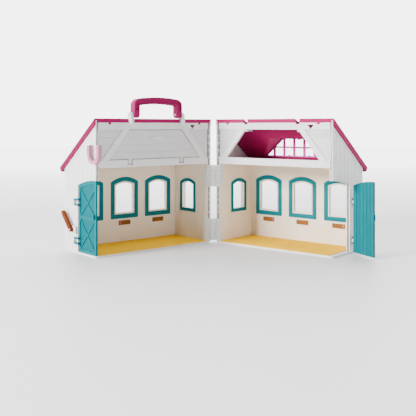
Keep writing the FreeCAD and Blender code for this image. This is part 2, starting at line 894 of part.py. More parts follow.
def make_flap():
    """Loft flap that closes the left half's opening and turns on its lower edge."""
    piece = Piece("loft_flap", LEFT)
    face = front + cell("flap_recess")
    back = face + cell("flap_thickness")
    piece.add("deep", [opening_outline(cell("flap_clearance"))], face, back)
    lines = fascia_lines(lambda share: ((middle - sill_half, middle + sill_half),))
    piece.cut("deep", lines, face - over, face + cell("board_groove_depth"))
    grip_foot = opening_sill + cell("flap_grip_rise")
    half = cell("flap_grip_length") / 2
    piece.add("deep", [rectangle((middle - half, grip_foot),
                                 (middle + half, grip_foot + cell("flap_grip_height")))],
              face - cell("flap_grip_reach"), face)
    radius = cell("flap_barrel_radius")
    bore = cell("flap_pin_radius") + cell("pin_clearance")
    for start, end in tongue_spans(ZERO):
        strap = rectangle((flap_axis_depth - radius, flap_axis_height),
                          (flap_axis_depth + radius, opening_sill + cell("flap_barrel_radius")))
        piece.add("across", [strap], start, end)
        piece.add("across", [Circle((flap_axis_depth, flap_axis_height), radius)], start, end)
        piece.cut("across", [Circle((flap_axis_depth, flap_axis_height), bore)],
                  start - over, end + over)
    return piece


def make_flap_pins():
    """Steel pins of the loft flap, held in the sides of the pockets."""
    piece = Piece("flap_pins", LEFT)
    for start, end in tongue_spans(cell("flap_pocket_side") + cell("clip_wall")):
        piece.add("across", [Circle((flap_axis_depth, flap_axis_height), cell("flap_pin_radius"))],
                  start, end)
    return piece


dormer_lean = ((dormer_foot_half - dormer_head_half)
               / (dormer_head - dormer_foot))
dormer_slant = root(dormer_lean * dormer_lean + 1)


def dormer_half(height, outward):
    """Half width of the dormer at a height, a distance outside its inner faces."""
    return (dormer_head_half + (dormer_head - height) * dormer_lean
            + outward * dormer_slant)


def dormer_outline(outward):
    """Outline of the dormer, carried down below the roof so that it cuts the whole skin."""
    foot = dormer_foot - lip
    head = dormer_head + outward
    wide = dormer_half(foot, outward)
    narrow = dormer_half(head, outward)
    return Outline([(middle - wide, foot), (middle + wide, foot), (middle + narrow, head),
                    (middle - narrow, head)])


def make_hood(side):
    """Hood of the dormer: three walls that stand on the roof and are open at the back."""
    piece = Piece(f"{SIDE_NAMES[side]}_dormer_hood", side)
    start = cell("bracket_half_depth")
    end = cell("dormer_back")
    piece.add("deep", [dormer_outline(cell("dormer_wall"))], start, end)
    piece.cut("deep", [dormer_outline(ZERO)], start - over, end + over)
    low = dormer_foot - ridge
    below = Outline([(-over, low), (depth, low), (depth, slope_height(depth, ZERO)),
                     (-over, slope_height(-over, ZERO))])
    return piece.cut("across", [below], hinge_face, door_face)


def make_roof(side):
    """Roof panel with its lips, its hooks, its skylight hole and the notches of the brackets."""
    piece = Piece(f"{SIDE_NAMES[side]}_roof", side)
    first = hinge_face - cell("roof_hinge_overhang")
    last = door_face + cell("roof_door_overhang")

    def slab(start_below, end_below):
        return Outline([(front, slope_height(front, start_below)), slope_spot(eave_run, start_below),
                        slope_spot(eave_run, end_below), (front, slope_height(front, end_below))])

    piece.add("across", [slab(ZERO, skin)], first, last)
    half = cell("board_groove") / 2
    sunk = cell("board_groove_depth")
    grooves = []
    for number in range(1, ROOF_BOARDS):
        run = eave_run * number / ROOF_BOARDS
        grooves.append(Outline([slope_spot(run - half, -over), slope_spot(run + half, -over),
                                slope_spot(run + half, sunk), slope_spot(run - half, sunk)]))
    piece.cut("across", grooves, first - over, last + over)
    piece.add("across", [slab(skin, lip)], first, hinge_face)
    piece.add("across", [slab(skin, lip)], door_face, last)
    eave = Outline([slope_spot(eave_run, skin), slope_spot(eave_run, lip),
                    slope_spot(eave_run - skin, lip), slope_spot(eave_run - skin, skin)])
    piece.add("across", [eave], hinge_face, door_face)
    inner = front + cell("ridge_lip")
    ridge_strip = Outline([(front, fascia_top), (inner, fascia_top),
                           (inner, slope_height(inner, skin)), (front, slope_height(front, skin))])
    piece.add("across", [ridge_strip], hinge_face + shell, door_face - shell)
    for start, end in hook_spans():
        piece.add("deep", [rectangle((start, fascia_top - cell("roof_hook_drop")), (end, fascia_top))],
                  front, panel_front)
    notch_depth = cell("bracket_half_depth") + bracket_spare
    notches = [rectangle((start, -over), (end, notch_depth)) for start, end
               in mirrored_spans(notch_inner - bracket_spare, notch_outer + bracket_spare)]
    piece.cut("up", notches, bracket_foot - over, ridge + over)
    return piece.cut("deep", [dormer_outline(ZERO)], cell("bracket_half_depth"), cell("dormer_back"))


def make_lattice(side):
    """Upright lattice that fills the back of the dormer, with its clips."""
    piece = Piece(f"{SIDE_NAMES[side]}_dormer_lattice", side)
    end = cell("dormer_back")
    start = end - cell("lattice_thickness")
    foot = dormer_foot
    head = dormer_head
    frame = cell("lattice_frame")

    def trapezoid(low, high, inward):
        wide = dormer_half(low, -inward)
        narrow = dormer_half(high, -inward)
        return Outline([(middle - wide, low), (middle + wide, low), (middle + narrow, high),
                        (middle - narrow, high)])

    piece.add("deep", [trapezoid(foot, head, ZERO), trapezoid(foot + frame, head - frame, frame)],
              start, end)
    bar = cell("lattice_bar") / 2
    for number in range(LATTICE_BARS):
        across = (number - (LATTICE_BARS - 1) / 2) * lattice_pitch
        reach = head - frame / 2
        slanted = foot + (dormer_half(foot, -frame) - mirrored_reach(across)) / dormer_lean
        top = reach if slanted.value > reach.value else slanted
        piece.add("deep", [rectangle((middle + across - bar, foot + frame / 2),
                                     (middle + across + bar, top))], start, end)
    rail = cell("lattice_rail") / 2
    high = dormer_foot + cell("lattice_rail_rise")
    half = dormer_half(high, -frame / 2)
    piece.add("deep", [rectangle((middle - half, high - rail), (middle + half, high + rail))],
              start, end)
    return add_lattice_clips(piece, start, end)


def add_lattice_clips(piece, start, end):
    """Small clips on the lattice frame: two at its foot and one at its head."""
    half = cell("lattice_clip_length") / 2
    rise = cell("lattice_clip_rise")
    foot = dormer_foot + cell("lattice_frame")
    head = dormer_head - cell("lattice_frame")
    pitch = lattice_pitch
    spots = [(middle - pitch, foot, foot + rise), (middle + pitch, foot, foot + rise),
             (middle, head - rise, head)]
    for across, low, high in spots:
        piece.add("deep", [rectangle((across - half, low), (across + half, high))], start, end)
    return piece


def mirrored_reach(across):
    """Distance of the outer edge of a lattice bar from the middle, whichever side it is on."""
    sign = -1 if across.value < 0 else 1
    return sign * across - cell("lattice_bar") / 2


def make_window_frames(side):
    """Frames that stand proud of the liner around each window."""
    proud = cell("window_proud")
    band = cell("window_band")
    pieces = []
    for number in WINDOWS:
        piece = Piece(f"{SIDE_NAMES[side]}_window_frame_{number + 1}", side)
        piece.add("deep", [back_window(number, ZERO), back_window(number, band)],
                  liner_back - proud, liner_back)
        pieces.append(piece)
    piece = Piece(f"{SIDE_NAMES[side]}_side_window_frame", side)
    piece.add("across", [side_window(ZERO), side_window(cell("side_window_band"))],
              liner_hinge, liner_hinge + proud)
    return pieces + [piece]


def make_plates(side):
    """Blank stall plates under the back windows."""
    half = cell("plate_length") / 2
    foot = cell("plate_centre_height") - cell("plate_height") / 2
    pieces = []
    for number in WINDOWS:
        piece = Piece(f"{SIDE_NAMES[side]}_stall_plate_{number + 1}", side)
        centre = hinge_face + cell("first_window") + number * window_pitch
        area = rectangle((centre - half, foot), (centre + half, foot + cell("plate_height")))
        piece.add("deep", [area], liner_back - cell("plate_thickness"), liner_back)
        pieces.append(piece)
    return pieces


def make_hinge_leaf(side, level):
    """One leaf of a case hinge: the block in the wall, and its share of the knuckles."""
    piece = Piece(f"{SIDE_NAMES[side]}_{level}_hinge_leaf", side)
    foot = hinge_feet[level]
    radius = cell("knuckle_radius")
    near = radius + cell("knuckle_side_gap")
    piece.add("up", [rectangle((near, front), (liner_hinge, cell("leaf_depth")))], foot,
              foot + hinge_rise)
    pitch = hinge_rise / (LEAF_GROOVES + 1)
    groove = cell("leaf_groove") / 2
    lines = [rectangle((near - over, foot + number * pitch - groove),
                       (liner_hinge + over, foot + number * pitch + groove))
             for number in range(1, LEAF_GROOVES + 1)]
    piece.cut("deep", lines, front - over, front + cell("leaf_groove_depth"))
    step = (hinge_rise + cell("knuckle_gap")) / KNUCKLES
    bore = cell("hinge_pin_radius") + cell("pin_clearance")
    turns = range(KNUCKLES)[0 if side == LEFT else 1::2]
    for number in turns:
        start = foot + number * step
        end = start + step - cell("knuckle_gap")
        piece.add("up", [Circle((ZERO, ZERO), radius)], start, end)
        piece.add("up", [rectangle((ZERO, front), (near, front + cell("knuckle_web")))], start, end)
        piece.cut("up", [Circle((ZERO, ZERO), bore)], start - over, end + over)
    return piece


def make_hinge_pins():
    """Steel pins of the two case hinges."""
    piece = Piece("case_hinge_pins", LEFT)
    for foot in hinge_feet.values():
        piece.add("up", [Circle((ZERO, ZERO), cell("hinge_pin_radius"))], foot, foot + hinge_rise)
    return piece


def door_panel_outline(inset):
    """Outline of the door leaf, a distance inside its edge."""
    return arched(front + cell("parting_gap") + inset, door_edge - inset, ZERO,
                  cell("door_foot") + inset, cell("door_apex") - inset, door_radius - inset)


def make_door(side):
    """Door leaf with its raised frame, crossed braces, loops, upright bars and hook."""
    piece = Piece(f"{SIDE_NAMES[side]}_door", side)
    face = door_face - cell("door_recess")
    panel_face = face - cell("door_relief")
    piece.add("across", [door_panel_outline(ZERO)], face - cell("door_leaf"), panel_face)
    frame = cell("door_frame")
    piece.add("across", [door_panel_outline(ZERO), door_panel_outline(frame)], panel_face, face)
    first = front + cell("parting_gap") + frame / 2
    last = door_edge - frame / 2
    middle_rail = cell("door_mid_rail")
    piece.add("across", [rectangle((first, middle_rail - frame / 2), (last, middle_rail + frame / 2))],
              panel_face, face)
    tops = cell("door_apex") - cell("door_rise") - frame / 2
    for foot, top in ((cell("door_foot") + frame / 2, middle_rail), (middle_rail, tops)):
        for start, end in ((first, last), (last, first)):
            half = cell("door_brace") / 2
            brace = Outline([(start, foot - half), (start, foot + half), (end, top + half),
                             (end, top - half)])
            piece.add("across", [brace], panel_face, face)
    inner_face = face - cell("door_leaf")
    step = (door_edge - front) / DOOR_PLANKS
    groove = cell("door_groove") / 2
    lines = [rectangle((front + number * step - groove, cell("door_foot") - over),
                       (front + number * step + groove, cell("door_apex") + over))
             for number in range(1, DOOR_PLANKS)]
    piece.cut("across", lines, inner_face - over, inner_face + cell("door_groove_depth"))
    return add_door_hardware(piece, face, panel_face)


def add_door_hardware(piece, face, panel_face):
    """Loops at the hinge edge with their upright bars, and the hook at the free edge."""
    axis = cell("door_hinge_depth")
    outward = door_face + cell("door_hinge_out")
    radius = cell("door_bar_radius")
    arm = cell("loop_arm")
    rise = cell("loop_height") / 2
    for height in (cell("lower_loop"), cell("upper_loop")):
        for foot, top in ((height - rise, height - rise + arm), (height + rise - arm, height + rise)):
            near = door_edge - cell("door_frame")
            arms = Outline([(panel_face, near), (outward + radius, near), (outward + radius, axis),
                            (outward - radius, axis), (outward - radius, door_edge),
                            (panel_face, door_edge)])
            piece.add("up", [arms], foot, top)
        piece.add("up", [Circle((outward, axis), radius)], height - rise, height + rise)
    inset = front + cell("parting_gap") + cell("door_hook_inset")
    wide = cell("door_hook_width")
    tall = cell("door_hook_height")
    out = cell("door_hook_out")
    centre = cell("door_mid_rail")
    hook = Outline([(face, centre), (face, centre + wide / 2), (face + out / 2, centre + wide / 2),
                    (face + out / 2, centre + tall), (face + out, centre + tall), (face + out, centre)])
    return add_hook(piece, hook, inset, inset + wide)


def add_hook(piece, hook, start, end):
    """Add the hook's profile, given by place across and height, between two depths."""
    return piece.add("deep", [hook], start, end)


def handle_outline(inset, foot):
    """Outline of the handle's arch, a distance inside its outer edge, down to a foot."""
    half = cell("handle_half")
    corner = cell("handle_corner")
    bow = arc_radius(half, cell("handle_rise"))
    bow_centre = handle_top - bow
    reach = bow - corner
    shoulder = half - corner
    shoulder_height = bow_centre + root(reach * reach - shoulder * shoulder)
    share = (bow - inset) / reach
    touch = shoulder * share
    touch_height = (bow_centre + (shoulder_height - bow_centre) * share).value
    side = half - inset
    points = [(middle - side, foot), (middle + side, foot), ((middle + side).value, shoulder_height),
              (middle + touch, touch_height), (middle - touch, touch_height),
              ((middle - side).value, shoulder_height)]
    arcs = {2: Arc((middle + shoulder, shoulder_height)), 3: Arc((middle, bow_centre), bow - inset),
            4: Arc((middle - shoulder, shoulder_height))}
    return Outline(points, arcs)


def make_handle():
    """Carry handle: a low arch on two legs with a channel down its front and back."""
    piece = Piece("carry_handle", LEFT)
    half = cell("handle_half")
    band = cell("handle_band")
    rise = cell("handle_depth") / 2
    pivot = handle_pivot
    wall = cell("handle_channel_wall")
    groove = cell("handle_channel")
    near, far = -rise, rise
    piece.add("deep", [handle_outline(ZERO, pivot)], near, far)
    channel = handle_outline(wall, pivot + rise)
    piece.cut("deep", [channel], near - over, near + groove)
    piece.cut("deep", [channel], far - groove, far + over)
    piece.add("deep", [handle_outline(band - wall, pivot)], near, far)
    piece.cut("deep", [handle_outline(band, pivot - over)], near - over, far + over)
    for start, end in mirrored_spans(half - band, half):
        piece.add("across", [Circle((ZERO, pivot), rise)], start, end)
    bore = cell("handle_pin_radius") + cell("pin_clearance")
    return piece.cut("across", [Circle((ZERO, pivot), bore)], middle - half - over,
                     middle + half + over)


def make_bracket(name, start, end):
    """Cheek beside one leg of the handle, with a heel behind the fascia."""
    piece = Piece(name, LEFT)
    rise = cell("bracket_half_depth")
    cap = cell("bracket_cap_radius")
    pivot = handle_pivot
    foot = bracket_foot
    cheek = Outline([(-rise, foot), (rise, foot), (rise, ridge), (cap, pivot), (-cap, pivot),
                     (-rise, ridge)])
    piece.add("across", [cheek], start, end)
    piece.add("across", [Circle((ZERO, pivot), cap)], start, end)
    heel = rectangle((fascia_back, foot - cell("bracket_heel_height")), (rise, foot + over))
    piece.add("across", [heel], start, end)
    return piece.cut("across", [Circle((ZERO, pivot), cell("handle_pin_radius"))], start - over,
                     end + over)


def make_brackets():
    """Both brackets of the handle, the one nearer the case hinge first."""
    names = ("handle_bracket_1", "handle_bracket_2")
    spans = mirrored_spans(notch_inner, notch_outer)
    return [make_bracket(name, start, end) for name, (start, end) in zip(names, spans)]


def make_handle_pins():
    """Steel pins on which the handle folds."""
    piece = Piece("handle_pins", LEFT)
    inner = cell("handle_half") - cell("handle_band")
    for start, end in mirrored_spans(inner, notch_outer):
        piece.add("across", [Circle((ZERO, handle_pivot), cell("handle_pin_radius"))],
                  start, end)
    return piece


latch_pivot_spot = (cell("latch_centre") + cell("latch_half_width") - cell("latch_arm") / 2,
                    cell("latch_foot") + cell("latch_pivot_rise"))


def horseshoe(outer, inner, top):
    """Outline of an open ring on two upright arms, by its outer and inner radius."""
    centre = cell("latch_centre")
    turn_height = cell("latch_foot") + cell("latch_half_width")
    bend = (centre, turn_height)
    points = [(centre - outer, top), (centre - outer, turn_height),
              (centre, (turn_height - outer).value), ((centre + outer).value, turn_height),
              (centre + outer, top), (centre + inner, top), (centre + inner, turn_height),
              (centre, (turn_height - inner).value), ((centre - inner).value, turn_height),
              (centre - inner, top)]
    return Outline(points, {run: Arc(bend) for run in (1, 2, 6, 7)})


def make_latch():
    """Horseshoe latch: an open ring with raised rims that hangs on a pin of the left half."""
    piece = Piece("horseshoe_latch", LEFT)
    half = cell("latch_half_width")
    inner = half - cell("latch_arm")
    near = door_face + cell("latch_standoff")
    far = near + cell("latch_thickness")
    rim = cell("latch_rim")
    piece.add("across", [horseshoe(half, inner, cell("latch_top"))], near, far)
    piece.cut("across", [horseshoe(half - rim, inner + rim, cell("latch_top") - rim)],
              far - cell("latch_groove"), far + over)
    bore = cell("latch_pin_radius") + cell("pin_clearance")
    return piece.cut("across", [Circle(latch_pivot_spot, bore)], near - over, far + over)


def make_latch_pin():
    """Headed pin that carries the horseshoe on the left half."""
    piece = Piece("latch_pin", LEFT)
    far = door_face + cell("latch_standoff") + cell("latch_thickness")
    piece.add("across", [Circle(latch_pivot_spot, cell("latch_pin_radius"))], door_face, far)
    return piece.add("across", [Circle(latch_pivot_spot, cell("latch_pin_head"))], far + cell("clip_gap"),
                     far + cell("clip_gap") + cell("latch_pin_head_length")) \
        .add("across", [Circle(latch_pivot_spot, cell("latch_pin_radius"))], far, far + cell("clip_gap"))


def make_catch():
    """Catch peg of the right half, over which the horseshoe snaps."""
    piece = Piece("latch_catch_peg", RIGHT)
    return piece.add("across", [Circle((cell("catch_depth"), cell("catch_height")),
                                       cell("catch_radius"))],
                     door_face, door_face + cell("catch_length"))


def make_door_bar():
    """Round ended bar that swings across the left door, drawn along its own pivot."""
    piece = Piece("door_bar", LEFT)
    near = door_face + cell("bar_standoff")
    far = near + cell("bar_thickness")
    half = cell("bar_width") / 2
    along = (turn("cos", "bar_tilt_angle"), turn("sin", "bar_tilt_angle"))
    pivot = ((cell("door_hinge_depth") + cell("bar_pivot_behind")), cell("bar_pivot_height"))
    tip = (pivot[0] + cell("bar_length") * along[0], pivot[1] + cell("bar_length") * along[1])
    shift = (half * along[1], half * along[0])
    body = Outline([(pivot[0] - shift[0], pivot[1] + shift[1]), (pivot[0] + shift[0], pivot[1] - shift[1]),
                    (tip[0] + shift[0], tip[1] - shift[1]), (tip[0] - shift[0], tip[1] + shift[1])])
    piece.add("across", [body], near, far)
    piece.add("across", [Circle(pivot, half)], near, far)
    piece.add("across", [Circle(tip, half)], near, far)
    bore = cell("bar_pin_radius") + cell("pin_clearance")
    return piece.cut("across", [Circle(pivot, bore)], near - over, far + over)


def make_bar_block():
    """White block on the left gable wall with the pin that carries the door bar."""
    piece = Piece("door_bar_block", LEFT)
    near = door_face
    far = door_face + cell("bar_standoff") - cell("bar_block_gap")
    pivot = ((cell("door_hinge_depth") + cell("bar_pivot_behind")), cell("bar_pivot_height"))
    low = pivot[1] - cell("bar_block_height") / 2
    back = pivot[0] + cell("bar_width") / 2
    piece.add("across", [rectangle((back - cell("bar_block_depth"), low),
                                   (back, low + cell("bar_block_height")))], near, far)
    return piece.add("across", [Circle(pivot, cell("bar_pin_radius"))], far,
                     door_face + cell("bar_standoff") + cell("bar_thickness"))


def half_pieces(side):
    """Every piece that both halves have."""
    makers = (make_base, make_straw, make_back_shell, make_hinge_shell, make_door_shell,
              make_back_liner, make_hinge_liner, make_door_liner, make_loft_floor, make_fascia,
              make_roof, make_hood, make_lattice)
    pieces = [maker(side) for maker in makers]
    pieces += make_window_frames(side) + make_plates(side)
    pieces += [make_hinge_leaf(side, level) for level in hinge_feet]
    return pieces


all_pieces = half_pieces(LEFT) + half_pieces(RIGHT)
all_pieces += [make_flap(), make_flap_pins(), make_hinge_pins(), make_handle(), make_handle_pins(),
               make_latch(), make_latch_pin(), make_catch(), make_door_bar(), make_bar_block()]
all_pieces += make_brackets()
doors = {side: make_door(side) for side in (LEFT, RIGHT)}
doc.recompute()

def yaw(side):
    """Turn of one half about the case hinge."""
    return FreeCAD.Placement(FreeCAD.Vector(), FreeCAD.Rotation(UP, -side * cell("half_yaw_angle").value))


def swing(side, angle):
    """Turn of a door about its upright bars."""
    spot = FreeCAD.Vector(side * (door_face + cell("door_hinge_out")).value,
                          cell("door_hinge_depth").value, 0)
    return FreeCAD.Placement(FreeCAD.Vector(), FreeCAD.Rotation(UP, side * angle), spot)


def check(piece):
    """Stop if a piece or one of its features did not build."""
    for feature in piece.body.Group + [piece.body]:
        if "Invalid" in feature.State or "Error" in feature.State:
            raise RuntimeError(f"{piece.name}: {feature.Name} {feature.State}")
    shape = piece.body.Shape
    if shape.isNull() or not shape.isValid() or not shape.Solids:
        raise RuntimeError(f"{piece.name}: no valid solid")


swings = {LEFT: 0.0, RIGHT: cell("right_door_angle").value}
placed = [(piece, yaw(piece.side)) for piece in all_pieces]
placed += [(piece, yaw(side).multiply(swing(side, swings[side]))) for side, piece in doors.items()]
box = FreeCAD.BoundBox()
for piece, place in placed:
    check(piece)
    piece.body.Placement = place
    box.add(piece.body.Shape.optimalBoundingBox(False))
centre = FreeCAD.Vector(-box.Center.x, -box.Center.y, -box.ZMin)
for piece, place in placed:
    piece.body.Placement = FreeCAD.Placement(centre, FreeCAD.Rotation()).multiply(place)
print("origin of the case hinge from the part's origin", centre)
print("whole part", box.XLength, box.YLength, box.ZLength)

os.makedirs("parts", exist_ok=True)
for piece, place in placed:
    check(piece)
    piece.body.Shape.exportStep(f"parts/{piece.body.Label}.step")
    print(piece.name, len(piece.body.Shape.Solids), round(piece.body.Shape.Volume, 1))
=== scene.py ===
"""A toy stable that opens like a book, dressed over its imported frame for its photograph.

All lengths are metres in the frame's own directions: +Z up, and -Y towards the open faces.
Patterns on the walls are drawn in each half's own directions, in millimetres: across runs from
the case hinge along the open face, deep runs to the back wall, and height is up.
"""

from __future__ import annotations

import json
import logging
import math
from dataclasses import dataclass
from enum import Enum
from typing import ClassVar

import bmesh
import bpy
from mathutils import Matrix, Vector

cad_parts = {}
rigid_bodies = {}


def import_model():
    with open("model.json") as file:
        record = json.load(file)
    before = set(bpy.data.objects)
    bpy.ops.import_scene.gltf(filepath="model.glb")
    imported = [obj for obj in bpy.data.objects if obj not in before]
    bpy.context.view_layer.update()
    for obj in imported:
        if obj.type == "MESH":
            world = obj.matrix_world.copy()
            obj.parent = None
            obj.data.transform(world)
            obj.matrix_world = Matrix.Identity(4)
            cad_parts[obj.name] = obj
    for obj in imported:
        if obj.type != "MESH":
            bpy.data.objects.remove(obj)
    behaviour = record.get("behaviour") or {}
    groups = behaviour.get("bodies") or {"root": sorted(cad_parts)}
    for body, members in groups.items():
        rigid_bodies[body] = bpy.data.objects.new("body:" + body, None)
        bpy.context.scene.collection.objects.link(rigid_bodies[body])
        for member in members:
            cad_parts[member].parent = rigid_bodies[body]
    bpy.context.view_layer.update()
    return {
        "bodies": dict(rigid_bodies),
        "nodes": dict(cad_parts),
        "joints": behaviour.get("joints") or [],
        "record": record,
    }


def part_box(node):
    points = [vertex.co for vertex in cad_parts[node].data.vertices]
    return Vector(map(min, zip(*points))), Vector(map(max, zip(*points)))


MM = 0.001
LOG = logging.getLogger("toy_stable")
Colour = tuple[float, float, float]
Scale = tuple[float, float, float]
Frame = dict
SHELL_WHITE: Colour = (0.90, 0.90, 0.90)


class Half(Enum):
    """One of the two mirrored halves of the case."""

    LEFT = -1
    RIGHT = 1

    @property
    def label(self) -> str:
        """The name that the half's nodes start with."""
        return self.name.lower()


class Run(Enum):
    """The direction in which the boards of a surface follow each other."""

    ACROSS = 0
    DEEP = 1
    HEIGHT = 2


def linear(colour: Colour) -> tuple[float, float, float, float]:
    """Turn a display colour into a scene colour.

    Args:
        colour: Red, green and blue from 0 to 1, as seen on a display.

    Returns:
        The scene colour with an alpha of one.
    """
    parts = [c / 12.92 if c <= 0.04045 else ((c + 0.055) / 1.055) ** 2.4 for c in colour]
    return (parts[0], parts[1], parts[2], 1.0)


@dataclass(frozen=True)
class Space:
    """Directions and origin of one half, or of one door, for patterns and for meshes.

    Attributes:
        origin: Where the directions start, in metres.
        turn: Angle of the directions about +Z, in radians.
        flip: -1 where across runs against the turned X axis.
    """

    origin: Vector
    turn: float
    flip: int

    def point(self, across: float, deep: float, height: float) -> Vector:
        """Place a point given in millimetres of this space.

        Args:
            across: Distance along the open face.
            deep: Distance towards the back wall.
            height: Height.

        Returns:
            The point in the frame, in metres.
        """
        local = Vector((self.flip * across * MM, deep * MM, height * MM))
        return self.origin + Matrix.Rotation(self.turn, 3, "Z") @ local

    def read(self, point: Vector) -> tuple[float, float, float]:
        """Read a point's place in this space.

        Args:
            point: A point of the frame, in metres.

        Returns:
            Its distances across and deep and its height, in millimetres.
        """
        local = Matrix.Rotation(-self.turn, 3, "Z") @ (point - self.origin) / MM
        return self.flip * local.x, local.y, local.z


@dataclass(frozen=True)
class Layout:
    """Where the halves and the doors stand, read from the frame's joints.

    Attributes:
        hinge: A point on the case hinge's axis.
        yaw: Angle of each half's open face, in radians.
        door_axis: Distance of a door's axis from the case hinge: across and deep, in millimetres.
        right_door_turn: Angle at which the right door stands open, in radians.
    """

    hinge: Vector
    yaw: float
    door_axis: tuple[float, float]
    right_door_turn: float

    @classmethod
    def read(cls, frame: Frame) -> Layout:
        """Read the layout.

        Args:
            frame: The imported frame.

        Returns:
            The layout of the halves.
        """
        joints = {joint["name"]: joint for joint in frame["joints"]}
        hinge = Vector(joints["case_hinge"]["pos_m"])
        hinge.z = 0.0
        across = Vector(joints["handle_fold"]["axis"])
        yaw = math.atan2(-across.y, -across.x)
        spot = Matrix.Rotation(yaw, 3, "Z") @ (Vector(joints["right_door_hinge"]["pos_m"]) - hinge)
        opened = math.radians(-joints["right_door_hinge"]["range_deg"][0])
        return cls(hinge, yaw, (spot.x / MM, spot.y / MM), opened)

    def half(self, half: Half) -> Space:
        """Directions of one half.

        Args:
            half: The half.

        Returns:
            Its space.
        """
        return Space(self.hinge, -half.value * self.yaw, half.value)

    def door(self, half: Half) -> Space:
        """Directions of one half's door, as it stands.

        Args:
            half: The half that carries the door.

        Returns:
            Its space, from the door's own axis.
        """
        opened = self.right_door_turn if half is Half.RIGHT else 0.0
        axis = self.half(half).point(*self.door_axis, 0.0)
        return Space(axis, half.value * (opened - self.yaw), half.value)


class Palette:
    """Draws the nodes of one material.

    Attributes:
        far_line: Number of the line from which lines are counted, half a pitch off.
    """

    far_line: ClassVar[float] = 1000.5

    def __init__(self, name: str) -> None:
        """Start a material with its shader.

        Args:
            name: The material's name.
        """
        self.material = bpy.data.materials.new(name)
        self.material.use_nodes = True
        self.tree = self.material.node_tree
        self.tree.nodes.clear()
        output = self.node("ShaderNodeOutputMaterial")
        self.shader = self.node("ShaderNodeBsdfPrincipled")
        self.join(self.shader.outputs["BSDF"], output.inputs["Surface"])

    def node(self, kind: str, **settings: object) -> bpy.types.Node:
        """Add a node.

        Args:
            kind: The node's type name.
            **settings: Its properties.

        Returns:
            The node.
        """
        made = self.tree.nodes.new(kind)
        for key, value in settings.items():
            setattr(made, key, value)
        return made

    def join(self, source: bpy.types.NodeSocket, target: bpy.types.NodeSocket) -> None:
        """Link two sockets."""
        self.tree.links.new(source, target)

    def feed(self, socket: bpy.types.NodeSocket, value: object) -> None:
        """Link a socket to another, or set its value.

        Args:
            socket: The socket to fill.
            value: A socket, a number or a colour.
        """
        if isinstance(value, bpy.types.NodeSocket):
            self.join(value, socket)
        else:
            socket.default_value = value

    def math(self, operation: str, *values: object) -> bpy.types.NodeSocket:
        """Work out a number from others.

        Args:
            operation: The math node's operation.
            *values: Its operands, sockets or numbers.

        Returns:
            The result's socket.
        """
        made = self.node("ShaderNodeMath", operation=operation)
        for socket, value in zip(made.inputs, values):
            self.feed(socket, value)
        return made.outputs[0]

    def spread(self, value: object, low: float, high: float, start: float, end: float
               ) -> bpy.types.NodeSocket:
        """Map a number from one range to another, held to its ends.

        Args:
            value: The number's socket.
            low: The value that becomes start.
            high: The value that becomes end.
            start: First result.
            end: Last result.

        Returns:
            The result's socket.
        """
        made = self.node("ShaderNodeMapRange")
        for socket, item in zip(made.inputs, (value, low, high, start, end)):
            self.feed(socket, item)
        return made.outputs[0]

    def blend(self, share: object, first: object, second: object) -> bpy.types.NodeSocket:
        """Mix two colours.

        Args:
            share: How much of the second colour.
            first: The first colour.
            second: The second colour.

        Returns:
            The mixed colour's socket.
        """
        made = self.node("ShaderNodeMix", data_type="RGBA")
        self.feed(made.inputs[0], share)
        self.feed(made.inputs[6], first)
        self.feed(made.inputs[7], second)
        return made.outputs[2]

    def place(self, space: Space) -> tuple[bpy.types.NodeSocket, list[bpy.types.NodeSocket]]:
        """Coordinates of a space, in millimetres.

        Args:
            space: The space.

        Returns:
            The coordinates as a vector, and one by one.
        """
        coordinates = self.node("ShaderNodeTexCoord")
        mapping = self.node("ShaderNodeMapping", vector_type="TEXTURE")
        mapping.inputs["Location"].default_value = space.origin
        mapping.inputs["Rotation"].default_value = (0.0, 0.0, space.turn)
        mapping.inputs["Scale"].default_value = (space.flip * MM, MM, MM)
        self.join(coordinates.outputs["Object"], mapping.inputs["Vector"])
        parts = self.node("ShaderNodeSeparateXYZ")
        self.join(mapping.outputs[0], parts.inputs[0])
        return mapping.outputs[0], list(parts.outputs)

    def stretch(self, vector: bpy.types.NodeSocket, scale: Scale) -> bpy.types.NodeSocket:
        """Scale a vector part by part.

        Args:
            vector: The vector's socket.
            scale: Factor of each part.

        Returns:
            The scaled vector's socket.
        """
        made = self.node("ShaderNodeVectorMath", operation="MULTIPLY")
        self.join(vector, made.inputs[0])
        made.inputs[1].default_value = scale
        return made.outputs[0]

    def mottle(self, vector: bpy.types.NodeSocket, scale: float, detail: float = 3.0,
               distortion: float = 0.0) -> bpy.types.NodeSocket:
        """Noise over a vector.

        Args:
            vector: Where to read it.
            scale: How fine it is, in features per unit of the vector.
            detail: How many finer layers it has.
            distortion: How much it is bent.

        Returns:
            The noise from 0 to 1.
        """
        made = self.node("ShaderNodeTexNoise")
        self.join(vector, made.inputs["Vector"])
        made.inputs["Scale"].default_value = scale
        made.inputs["Detail"].default_value = detail
        made.inputs["Distortion"].default_value = distortion
        return made.outputs[0]

    def seams(self, place: bpy.types.NodeSocket, pitch: float, phase: float, width: float
              ) -> bpy.types.NodeSocket:
        """Evenly spaced lines.

        Args:
            place: The coordinate across the lines, in millimetres.
            pitch: Distance between two lines.
            phase: Place of one line.
            width: Width of a line.

        Returns:
            One on a line and zero between lines.
        """
        moved = self.math("SUBTRACT", place, phase - pitch * self.far_line)
        along = self.math("MODULO", moved, pitch)
        away = self.math("ABSOLUTE", self.math("SUBTRACT", along, pitch / 2))
        return self.spread(away, width / 2, width / 10, 0.0, 1.0)

    def bump(self, height: bpy.types.NodeSocket, strength: float = 1.0) -> None:
        """Raise the surface by a height in millimetres.

        Args:
            height: The height's socket.
            strength: Share of the effect.
        """
        made = self.node("ShaderNodeBump")
        made.inputs["Strength"].default_value = strength
        made.inputs["Distance"].default_value = MM
        self.join(height, made.inputs["Height"])
        self.join(made.outputs[0], self.shader.inputs["Normal"])


